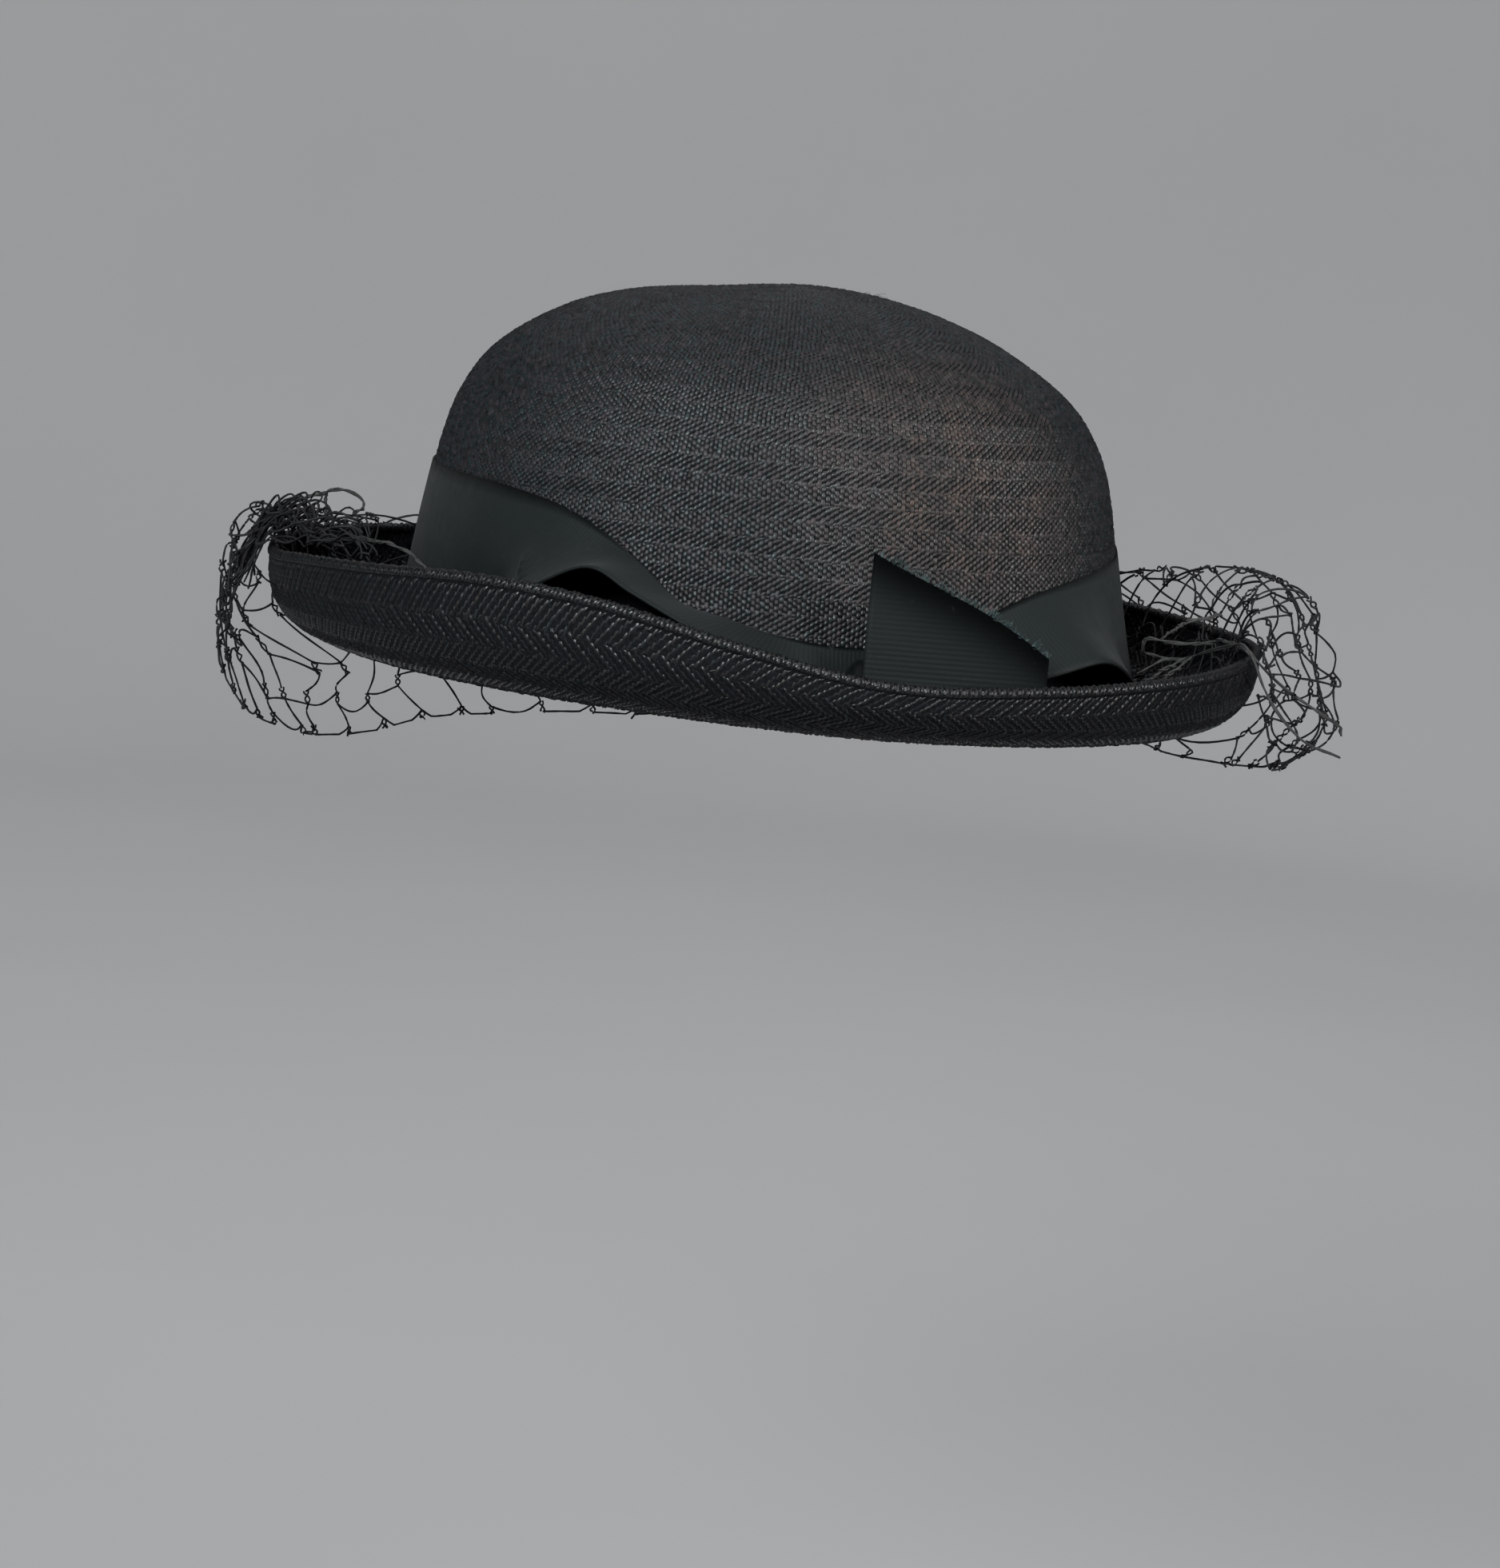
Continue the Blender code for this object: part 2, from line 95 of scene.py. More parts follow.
class VeilRow(NamedTuple):
    """Veil: arch, reach and hem as shares of the veil's own sizes."""

    angle: float
    arch: float
    reach: float
    hem: float


class VeilStep(NamedTuple):
    """The veil's course past the brim's edge: shares of its reach, edge height, arch and hem."""

    reach: float
    edge: float
    arch: float
    hem: float


CROWN_PROFILE = (
    CrownRow(height=0.000, reach=1.000),
    CrownRow(height=0.150, reach=0.978),
    CrownRow(height=0.350, reach=0.949),
    CrownRow(height=0.540, reach=0.913),
    CrownRow(height=0.655, reach=0.873),
    CrownRow(height=0.770, reach=0.791),
    CrownRow(height=0.885, reach=0.613),
    CrownRow(height=0.950, reach=0.420),
    CrownRow(height=1.000, reach=0.000),
)
DENTS = (
    Dent(across=-0.19, along=-0.05, height=1.00, wide=0.20, long=0.45, tall=0.20, depth=0.90),
    Dent(across=0.66, along=-0.15, height=0.84, wide=0.30, long=0.50, tall=0.22, depth=0.75),
    Dent(across=-0.55, along=0.60, height=0.80, wide=0.28, long=0.30, tall=0.22, depth=0.35),
)
BRIM_ROWS = (
    BrimRow(angle=0, reach=0.98, height=0.93),
    BrimRow(angle=45, reach=0.99, height=0.97),
    BrimRow(angle=90, reach=1.00, height=0.97),
    BrimRow(angle=150, reach=1.00, height=1.03),
    BrimRow(angle=175, reach=0.99, height=0.99),
    BrimRow(angle=190, reach=0.98, height=1.10),
    BrimRow(angle=207, reach=0.97, height=1.21),
    BrimRow(angle=225, reach=0.97, height=1.32),
    BrimRow(angle=240, reach=0.98, height=1.25),
    BrimRow(angle=255, reach=1.00, height=0.97),
    BrimRow(angle=270, reach=1.04, height=0.71),
    BrimRow(angle=285, reach=1.07, height=0.75),
    BrimRow(angle=305, reach=1.05, height=0.86),
    BrimRow(angle=332, reach=0.99, height=0.97),
)
BAND_ROWS = (
    BandRow(angle=0, top=0.900, swing=0, lean=0.04, foot=0.00),
    BandRow(angle=45, top=0.970, swing=0, lean=0.00, foot=0.00),
    BandRow(angle=100, top=1.000, swing=0, lean=0.00, foot=0.00),
    BandRow(angle=160, top=0.945, swing=0, lean=0.00, foot=0.00),
    BandRow(angle=188, top=0.945, swing=0, lean=0.02, foot=0.00),
    BandRow(angle=204, top=0.940, swing=-1, lean=0.10, foot=0.01),
    BandRow(angle=213, top=0.915, swing=-3, lean=0.24, foot=0.08),
    BandRow(angle=221, top=0.865, swing=-2, lean=0.62, foot=0.30),
    BandRow(angle=229, top=0.758, swing=-1, lean=0.90, foot=0.50),
    BandRow(angle=236, top=0.615, swing=-1, lean=0.98, foot=0.63),
    BandRow(angle=243, top=0.450, swing=-2, lean=1.00, foot=0.53),
    BandRow(angle=250, top=0.400, swing=-2, lean=0.96, foot=0.39),
    BandRow(angle=257, top=0.345, swing=-2, lean=0.66, foot=0.22),
    BandRow(angle=264, top=0.320, swing=0, lean=0.20, foot=0.05),
    BandRow(angle=271, top=0.320, swing=0, lean=0.01, foot=0.00),
    BandRow(angle=279, top=0.380, swing=1, lean=0.06, foot=0.02),
    BandRow(angle=288, top=0.485, swing=1, lean=0.34, foot=0.14),
    BandRow(angle=296, top=0.588, swing=1, lean=0.56, foot=0.25),
    BandRow(angle=303, top=0.652, swing=1, lean=0.70, foot=0.32),
    BandRow(angle=312, top=0.710, swing=0, lean=0.60, foot=0.22),
    BandRow(angle=323, top=0.760, swing=-1, lean=0.28, foot=0.10),
    BandRow(angle=340, top=0.810, swing=0, lean=0.10, foot=0.01),
)
VEIL_ROWS = (
    VeilRow(angle=-31, arch=0.70, reach=1.02, hem=0.24),
    VeilRow(angle=0, arch=0.88, reach=1.20, hem=0.46),
    VeilRow(angle=35, arch=0.34, reach=1.05, hem=0.62),
    VeilRow(angle=90, arch=0.16, reach=0.90, hem=0.90),
    VeilRow(angle=130, arch=0.05, reach=0.72, hem=1.14),
    VeilRow(angle=155, arch=0.26, reach=0.60, hem=1.04),
    VeilRow(angle=174, arch=0.36, reach=0.52, hem=0.66),
)
VEIL_COURSE = (
    VeilStep(reach=-0.10, edge=1.00, arch=0.80, hem=0.00),
    VeilStep(reach=0.45, edge=1.00, arch=0.95, hem=0.00),
    VeilStep(reach=0.95, edge=0.72, arch=0.00, hem=0.00),
    VeilStep(reach=1.00, edge=0.00, arch=0.00, hem=0.15),
    VeilStep(reach=0.40, edge=0.00, arch=0.00, hem=1.00),
)


@dataclass(frozen=True)
class Curve:
    """A smooth curve through one column of a table, read at any place."""

    keys: Shape
    values: Shape
    slopes: Shape
    period: float

    @classmethod
    def through(cls, rows: Sequence[NamedTuple], key: str, column: str,
                period: float = 0.0) -> "Curve":
        """Make the curve through a table's rows.

        Args:
            rows: the table.
            key: the column that says where.
            column: the column that is read.
            period: the length after which the table repeats, or 0 where it doesn't.

        Returns:
            The curve.
        """
        keys = np.array([getattr(row, key) for row in rows], float)
        values = np.array([getattr(row, column) for row in rows], float)
        if period:
            keys = np.concatenate([[keys[-1] - period], keys, [keys[0] + period]])
            values = np.concatenate([[values[-1]], values, [values[0]]])
        spots = np.arange(len(keys))
        low = np.maximum(spots - 1, 0)
        high = np.minimum(spots + 1, len(keys) - 1)
        slopes = (values[high] - values[low]) / (keys[high] - keys[low])
        if period:
            slopes[0] = (values[1] - values[-3]) / (keys[1] - keys[-3] + period)
            slopes[-1] = (values[2] - values[-2]) / (keys[2] - keys[-2] + period)
        return cls(keys, values, slopes, period)

    def at(self, where: Shape) -> Shape:
        """Read the curve.

        Args:
            where: the places, in the key's unit.

        Returns:
            The values there.
        """
        spot = np.asarray(where, float)
        if self.period:
            spot = self.keys[1] + (spot - self.keys[1]) % self.period
        spot = np.clip(spot, self.keys[0], self.keys[-1])
        i = np.clip(np.searchsorted(self.keys, spot, side="right") - 1, 0, len(self.keys) - 2)
        span = self.keys[i + 1] - self.keys[i]
        t = (spot - self.keys[i]) / span
        a, b = self.values[i], self.values[i + 1]
        slope_a, slope_b = self.slopes[i], self.slopes[i + 1]
        near = (1 + 2 * t) * (1 - t) ** 2 * a + t * (1 - t) ** 2 * span * slope_a
        far = t * t * (3 - 2 * t) * b + t * t * (t - 1) * span * slope_b
        return near + far


def columns_of(*parts: Shape) -> Shape:
    """Stack coordinates of any one shape into points."""
    return np.stack(np.broadcast_arrays(*parts), axis=-1)


def unit(rays: Shape) -> Shape:
    """Scale rays to a length of one."""
    return rays / np.maximum(np.linalg.norm(rays, axis=-1, keepdims=True), 1e-12)


def round_curve(rows: Sequence[NamedTuple], column: str) -> Curve:
    """Return a column of a table as a curve that closes round the hat."""
    return field(default_factory=lambda: Curve.through(rows, "angle", column, 360))


@dataclass(frozen=True)
class HatForm:
    """The hat's form in the solids: its oval, crown, brim, band and veil at any angle."""

    crown_width: float = 0.1616
    crown_length: float = 0.1920
    crown_rise: float = 0.0862
    headline_height: float = 0.0030
    oval_power: float = 2.1
    dent_depth: float = 0.0020
    straw_wall: float = 0.0012
    fit_gap: float = 0.0003
    brim_reach: float = 0.0300
    brim_flip: float = 0.0200
    trough_run: float = 0.0090
    trough_drop: float = 0.0029
    heel_overhang: float = 0.0009
    heel_drop: float = 0.0053
    bead_radius: float = 0.0012
    bead_seat: float = 0.8
    bead_sweep: float = 130.0
    collar_rise: float = 0.0110
    collar_bend: float = 0.0045
    ribbon_width: float = 0.0395
    band_lift: float = 0.0019
    band_lean: float = 0.0220
    band_lean_curve: float = 1.25
    crown_squares: Curve = field(default_factory=lambda: Curve.through(
        [CrownRow(row.height, row.reach ** 2) for row in CROWN_PROFILE], "height", "reach"))
    edge_reach: Curve = round_curve(BRIM_ROWS, "reach")
    edge_height: Curve = round_curve(BRIM_ROWS, "height")
    band_top: Curve = round_curve(BAND_ROWS, "top")
    band_foot: Curve = round_curve(BAND_ROWS, "foot")
    band_leans: Curve = round_curve(BAND_ROWS, "lean")
    band_swing: Curve = round_curve(BAND_ROWS, "swing")

    def oval(self, angle: Shape) -> Shape:
        """Return the headline's outer oval in plan.

        Args:
            angle: the angles.

        Returns:
            The points there.
        """
        turn = np.radians(angle)
        power = 2 / self.oval_power
        x = np.copysign(np.abs(np.cos(turn)) ** power, np.cos(turn)) * self.crown_width / 2
        y = np.copysign(np.abs(np.sin(turn)) ** power, np.sin(turn)) * self.crown_length / 2
        return columns_of(x, y, np.zeros_like(x))

    def outward(self, angle: Shape) -> Shape:
        """Return the level directions that point straight out of the oval.

        Args:
            angle: the angles.

        Returns:
            The directions, each with a length of one.
        """
        place = self.oval(angle)
        scale = np.array([(self.crown_width / 2) ** 2, (self.crown_length / 2) ** 2, 1.0])
        return unit(place / scale)

    def crown_share(self, height: Shape) -> Shape:
        """Return how much of the oval the crown fills at shares of its rise."""
        return np.sqrt(np.maximum(self.crown_squares.at(height), 0))

    def crown_point(self, angle: Shape, height: Shape) -> Shape:
        """Return points of the crown's outer face.

        Args:
            angle: the angles.
            height: shares of the crown's rise.

        Returns:
            The points, with the dents pressed in.
        """
        angle, height = np.broadcast_arrays(np.asarray(angle, float), np.asarray(height, float))
        place = self.oval(angle) * self.crown_share(height)[..., None]
        place[..., 2] = self.headline_height + self.crown_rise * height
        depth = np.zeros_like(height)
        for dent in DENTS:
            across = (place[..., 0] / (self.crown_width / 2) - dent.across) / dent.wide
            along = (place[..., 1] / (self.crown_length / 2) - dent.along) / dent.long
            up = (height - dent.height) / dent.tall
            press = np.exp(-(across ** 2 + along ** 2 + up ** 2))
            depth = depth + dent.depth * self.dent_depth * press
        focus = np.array([0, 0, self.headline_height + self.crown_rise / 3])
        return place - unit(place - focus) * depth[..., None]

    def set_back(self, angle: Shape, lift: Shape) -> Shape:
        """Return how far the crown has drawn in at heights above the headline."""
        share = self.crown_share(np.maximum(lift, 0) / self.crown_rise)
        return np.sum(self.oval(angle) * self.outward(angle), axis=-1) * (share - 1)

    def at_section(self, angle: Shape, out: Shape, height: Shape) -> Shape:
        """Return points a way out from the headline's oval and above the mount.

        Args:
            angle: the angles.
            out: distances out from the oval.
            height: heights above the mount.

        Returns:
            The points.
        """
        parts = [np.asarray(part, float) for part in (angle, out, height)]
        angle, out, height = np.broadcast_arrays(*parts)
        place = self.oval(angle) + self.outward(angle) * out[..., None]
        place[..., 2] += height
        return place

    def brim_edge(self, angle: Shape) -> tuple[Shape, Shape]:
        """Return the reach and the height of the brim's rolled edge."""
        reach = self.brim_reach * self.edge_reach.at(angle)
        return reach, self.brim_flip * self.edge_height.at(angle)

    def brim_under(self, angle: Shape, t: Shape, offset: Shape = 0.0) -> tuple[Shape, Shape]:
        """Return the brim's under face, or a line beside it.

        Args:
            angle: the angles.
            t: places from the headline at 0 to the edge at 1.
            offset: how far above the face the line lies.

        Returns:
            How far out and how high the points lie.
        """
        reach, height = self.brim_edge(angle)
        outs = (0 * reach, self.trough_run + 0 * reach, reach + self.heel_overhang, reach)
        highs = (
            self.headline_height + 0 * reach,
            self.headline_height - self.trough_drop + 0 * reach,
            self.headline_height - self.heel_drop + 0 * reach,
            height - (1 + self.bead_seat) * self.bead_radius,
        )
        weights = ((1 - t) ** 3, 3 * t * (1 - t) ** 2, 3 * t * t * (1 - t), t ** 3)
        steps = (3 * (1 - t) ** 2, 6 * t * (1 - t), 3 * t * t)
        out = sum(w * p for w, p in zip(weights, outs))
        high = sum(w * p for w, p in zip(weights, highs))
        run = sum(w * (b - a) for w, a, b in zip(steps, outs, outs[1:]))
        rise = sum(w * (b - a) for w, a, b in zip(steps, highs, highs[1:]))
        size = np.maximum(np.hypot(run, rise), 1e-9)
        return out - rise / size * offset, high + run / size * offset

    def band_point(self, angle: Shape, down: Shape) -> Shape:
        """Return points of the band's inner face.

        Args:
            angle: the angles at its upper edge.
            down: shares of the way from the upper edge to the lower one.

        Returns:
            The points.
        """
        top = self.band_lift + self.ribbon_width * self.band_top.at(angle)
        foot = self.band_lift + self.ribbon_width * self.band_foot.at(angle)
        lean = self.band_lean * np.maximum(self.band_leans.at(angle), 0)
        lift = top + (foot - top) * down
        there = angle + self.band_swing.at(angle) * down
        out = self.set_back(there, lift) + self.fit_gap + lean * down ** self.band_lean_curve
        return self.at_section(there, out, self.headline_height + lift)


def even_turns(form: HatForm, reach: float, count: int = 1440) -> Callable[[Shape], Shape]:
    """Make a reader of angles that lie evenly along an oval line.

    Args:
        form: the hat's form.
        reach: how far outside the headline the line runs.
        count: how finely it is measured.

    Returns:
        A function from shares of the way round to angles.
    """
    angles = np.linspace(0, 360, count + 1)
    line = form.at_section(angles, reach, 0)
    run = np.concatenate([[0], np.cumsum(np.linalg.norm(np.diff(line, axis=0), axis=1))])
    shares = run / run[-1]

    def read(share: Shape) -> Shape:
        """Return the angles at shares of the way round."""
        whole = np.floor(share)
        return 360 * whole + np.interp(share - whole, shares, angles)

    return read


def make_object(name: str, points: Shape, faces: Sequence[Shape], finish: bpy.types.Material,
                tints: Shape | None = None, shares: Shape | None = None) -> bpy.types.Object:
    """Make a smooth mesh object.

    Args:
        name: the object's name.
        points: its points.
        faces: arrays of faces, each with one number of corners.
        finish: its material.
        tints: a number for each point that its material reads as tint; on straw a random tone with
            painted shade at each straw's foot, on ribbon the rib height that sets painted highlight
            and shade.
        shares: a second number for each point, read as ply; on ribbon it is the share of painted
            shade.

    Returns:
        The object.
    """
    mesh = bpy.data.meshes.new(name)
    corners = [face for group in faces for face in group.tolist()]
    mesh.from_pydata(points.reshape(-1, 3).tolist(), [], corners)
    for label, values in (("tint", tints), ("ply", shares)):
        if values is not None:
            layer = mesh.attributes.new(label, "FLOAT", "POINT")
            layer.data.foreach_set("value", np.asarray(values, np.float32).ravel())
    mesh.materials.append(finish)
    mesh.shade_smooth()
    made = bpy.data.objects.new(name, mesh)
    bpy.context.scene.collection.objects.link(made)
    LOG.info("%s: %d points, %d faces", name, len(mesh.vertices), len(mesh.polygons))
    return made


def grid_faces(rows: int, columns: int, closed_rows: bool, closed_columns: bool,
               flip: bool = False) -> Shape:
    """Return the quads of a grid of points stored row by row.

    Args:
        rows: how many rows.
        columns: how many points a row has.
        closed_rows: whether the last row meets the first.
        closed_columns: whether each row closes on itself.
        flip: whether the faces turn the other way.

    Returns:
        The faces.
    """
    r = np.arange(rows if closed_rows else rows - 1)[:, None]
    c = np.arange(columns if closed_columns else columns - 1)[None, :]
    after_r = (r + 1) % rows
    after_c = (c + 1) % columns
    quads = columns_of(r * columns + c, r * columns + after_c, after_r * columns + after_c,
                       after_r * columns + c).reshape(-1, 4)
    return quads[:, ::-1] if flip else quads


def tube_points(line: Shape, radius: Shape, sides: int) -> tuple[Shape, Shape]:
    """Make a round tube along a line.

    Args:
        line: the line's points.
        radius: the tube's radius at each of them.
        sides: how many sides it has.

    Returns:
        The tube's points and its faces, open at the ends.
    """
    count = len(line)
    along = unit(np.gradient(line, axis=0))
    level = np.abs(along[:, 2:3]) < 0.8
    helper = np.where(level, np.array([[0.0, 0.0, 1.0]]), np.array([[1.0, 0.0, 0.0]]))
    side = unit(np.cross(helper, along))
    other = np.cross(along, side)
    turn = 2 * np.pi * np.arange(sides) / sides
    cosine, sine = np.cos(turn)[None, :, None], np.sin(turn)[None, :, None]
    ring = side[:, None] * cosine + other[:, None] * sine
    points = line[:, None] + ring * np.broadcast_to(radius, count)[:, None, None]
    return points.reshape(-1, 3), grid_faces(count, sides, False, True)


class Grain(NamedTuple):
    """A fine bump: lumps in a metre, their layers, height and strength."""

    scale: float
    detail: float
    height: float
    strength: float


class Nodes:
    """A short way to write a material's nodes."""

    def __init__(self, name: str) -> None:
        """Start a material with its shader and object coordinates.

        Args:
            name: the material's name.
        """
        self.finish = bpy.data.materials.new(name)
        self.finish.use_nodes = True
        self.tree = self.finish.node_tree
        self.shader = self.tree.nodes["Principled BSDF"]
        self.where = self.tree.nodes.new("ShaderNodeTexCoord").outputs["Object"]

    def put(self, socket: bpy.types.NodeSocket, value: object) -> None:
        """Link or set one input.

        Args:
            socket: the input.
            value: another node's output, or a plain value.
        """
        if isinstance(value, bpy.types.NodeSocket):
            self.tree.links.new(value, socket)
        else:
            socket.default_value = value

    def attribute(self, label: str) -> bpy.types.NodeSocket:
        """Read a number kept on the mesh.

        Args:
            label: the attribute's name.

        Returns:
            The output that gives it.
        """
        node = self.tree.nodes.new("ShaderNodeAttribute")
        node.attribute_name = label
        return node.outputs["Fac"]

    def maths(self, operation: str, *values: object) -> bpy.types.NodeSocket:
        """Return the result of a sum or the like.

        Args:
            operation: the operation's name in Blender.
            values: what it works on, outputs or numbers.

        Returns:
            The output that gives the result.
        """
        node = self.tree.nodes.new("ShaderNodeMath")
        node.operation = operation
        for socket, value in zip(node.inputs, values):
            self.put(socket, value)
        return node.outputs[0]

    def noise(self, scale: float, detail: float = 3.0,
              stretch: tuple = (1, 1, 1)) -> bpy.types.NodeSocket:
        """Return noise over the piece.

        Args:
            scale: how many lumps of it lie in a metre.
            detail: how many finer layers it has.
            stretch: shares of the scale along each axis.

        Returns:
            The output that gives it, from 0 to 1.
        """
        mapping = self.tree.nodes.new("ShaderNodeMapping")
        mapping.inputs["Scale"].default_value = stretch
        self.put(mapping.inputs["Vector"], self.where)
        node = self.tree.nodes.new("ShaderNodeTexNoise")
        self.put(node.inputs["Vector"], mapping.outputs[0])
        node.inputs["Scale"].default_value = scale
        node.inputs["Detail"].default_value = detail
        return node.outputs["Fac"]

    def ramp(self, value: object, stops: Sequence[tuple]) -> bpy.types.NodeSocket:
        """Return a colour read from a row of stops.

        Args:
            value: what says where on the row to read.
            stops: each stop's place and colour.

        Returns:
            The output that gives the colour.
        """
        node = self.tree.nodes.new("ShaderNodeValToRGB")
        self.put(node.inputs["Fac"], value)
        while len(node.color_ramp.elements) < len(stops):
            node.color_ramp.elements.new(0.5)
        for element, (place, colour) in zip(node.color_ramp.elements, stops):
            element.position = place
            element.color = (*colour, 1)
        return node.outputs["Color"]

    def spread(self, value: object, low: float, high: float) -> bpy.types.NodeSocket:
        """Return a number from 0 to 1 moved to between two values.

        Args:
            value: the number.
            low: what it becomes at 0.
            high: what it becomes at 1.

        Returns:
            The output that gives the result.
        """
        node = self.tree.nodes.new("ShaderNodeMapRange")
        self.put(node.inputs["Value"], value)
        node.inputs["To Min"].default_value = low
        node.inputs["To Max"].default_value = high
        return node.outputs[0]

    def mix(self, share: object, first: object, second: object) -> bpy.types.NodeSocket:
        """Return a mix of two colours.

        Args:
            share: how much of the second is in it.
            first: a colour or the output that gives it.
            second: the same for the second.

        Returns:
            The output that gives the mix.
        """
        node = self.tree.nodes.new("ShaderNodeMix")
        node.data_type = "RGBA"
        self.put(node.inputs["Factor"], share)
        self.put(node.inputs["A"], (*first, 1) if isinstance(first, tuple) else first)
        self.put(node.inputs["B"], (*second, 1) if isinstance(second, tuple) else second)
        return node.outputs["Result"]

    def near(self, centre: tuple, radius: float, soft: float) -> bpy.types.NodeSocket:
        """Return 1 near a place of the hat and 0 away from it.

        Args:
            centre: the place.
            radius: how far the middle of the change lies from it.
            soft: half the width of the change.

        Returns:
            The output that gives the number.
        """
        node = self.tree.nodes.new("ShaderNodeVectorMath")
        node.operation = "DISTANCE"
        self.put(node.inputs[0], self.where)
        node.inputs[1].default_value = centre
        span = self.tree.nodes.new("ShaderNodeMapRange")
        span.interpolation_type = "SMOOTHSTEP"
        self.put(span.inputs["Value"], node.outputs["Value"])
        span.inputs["From Min"].default_value = radius + soft
        span.inputs["From Max"].default_value = max(radius - soft, 0)
        return span.outputs[0]

    def grain(self, grain: Grain, stretch: tuple = (1, 1, 1)) -> None:
        """Give the shader a fine bump.

        Args:
            grain: its size and strength.
            stretch: shares of its scale along each axis.
        """
        lumps = self.noise(grain.scale, grain.detail, stretch)
        node = self.tree.nodes.new("ShaderNodeBump")
        node.inputs["Distance"].default_value = grain.height
        node.inputs["Strength"].default_value = grain.strength
        self.put(node.inputs["Height"], lumps)
        self.put(self.shader.inputs["Normal"], node.outputs[0])


@dataclass(frozen=True)
class StrawFinish:
    """Dyed straw, glossy, with strands of slightly unlike blacks and a brown fade, and painted shade at each
    strand's foot.
    """

    name: str = "dyed_straw"
    dark: tuple = (0.0012, 0.0014, 0.0016)
    teal: tuple = (0.017, 0.028, 0.030)
    blue: tuple = (0.022, 0.025, 0.031)
    mauve: tuple = (0.031, 0.024, 0.029)
    fade: tuple = (0.085, 0.052, 0.036)
    fade_centre: tuple = (0.024, -0.088, 0.056)
    fade_radius: float = 0.026
    rough_low: float = 0.34
    rough_high: float = 0.50
    fade_blur: float = 0.030
    patch_scale: float = 150
    patch_low: float = -0.35
    patch_high: float = 1.35
    wear_scale: float = 55
    wear: float = 0.14
    specular: float = 0.5
    grain: Grain = Grain(scale=2600, detail=2.0, height=0.00006, strength=0.5)
    grain_stretch: tuple = (1, 1, 0.25)
    ground_scale: float = 900
    ground_blue: float = 0.5
    ground_roughness: float = 0.75
    ground_specular: float = 0.14
    ground_grain: Grain = Grain(scale=1050, detail=1.0, height=0.0004, strength=0.8)

    def make(self) -> bpy.types.Material:
        """Make the material of the strands that stand up.

        Returns:
            The material, which reads the mesh's tint and ply.
        """
        nodes = Nodes(self.name)
        tint = nodes.attribute("tint")
        ply = nodes.attribute("ply")
        light = nodes.ramp(ply, [(0.15, self.teal), (0.5, self.blue), (0.9, self.mauve)])
        # tint runs from dark to the strand's colour: its random tone is real, the darker foot of each straw
        # is painted shade
        colour = nodes.mix(tint, self.dark, light)
        patch = nodes.maths(
            "MULTIPLY", nodes.near(self.fade_centre, self.fade_radius, self.fade_blur),
            nodes.spread(nodes.noise(self.patch_scale), self.patch_low, self.patch_high))
        colour = nodes.mix(nodes.maths("MULTIPLY", patch, tint), colour, self.fade)
        nodes.put(nodes.shader.inputs["Base Color"], colour)
        worn = nodes.maths("MULTIPLY", nodes.noise(self.wear_scale), self.wear)
        nodes.put(nodes.shader.inputs["Roughness"],
                  nodes.maths("ADD", nodes.spread(ply, self.rough_low, self.rough_high), worn))
        nodes.shader.inputs["Specular IOR Level"].default_value = self.specular
        nodes.grain(self.grain, self.grain_stretch)
        return nodes.finish

    def make_ground(self) -> bpy.types.Material:
        """Make the material of the ground between the strands and of the inside.

        Returns:
            The material.
        """
        nodes = Nodes(self.name + "_ground")
        share = nodes.maths("MULTIPLY", nodes.noise(self.ground_scale), self.ground_blue)
        nodes.put(nodes.shader.inputs["Base Color"], nodes.mix(share, self.dark, self.blue))
        nodes.shader.inputs["Roughness"].default_value = self.ground_roughness
        nodes.shader.inputs["Specular IOR Level"].default_value = self.ground_specular
        nodes.grain(self.ground_grain)
        return nodes.finish


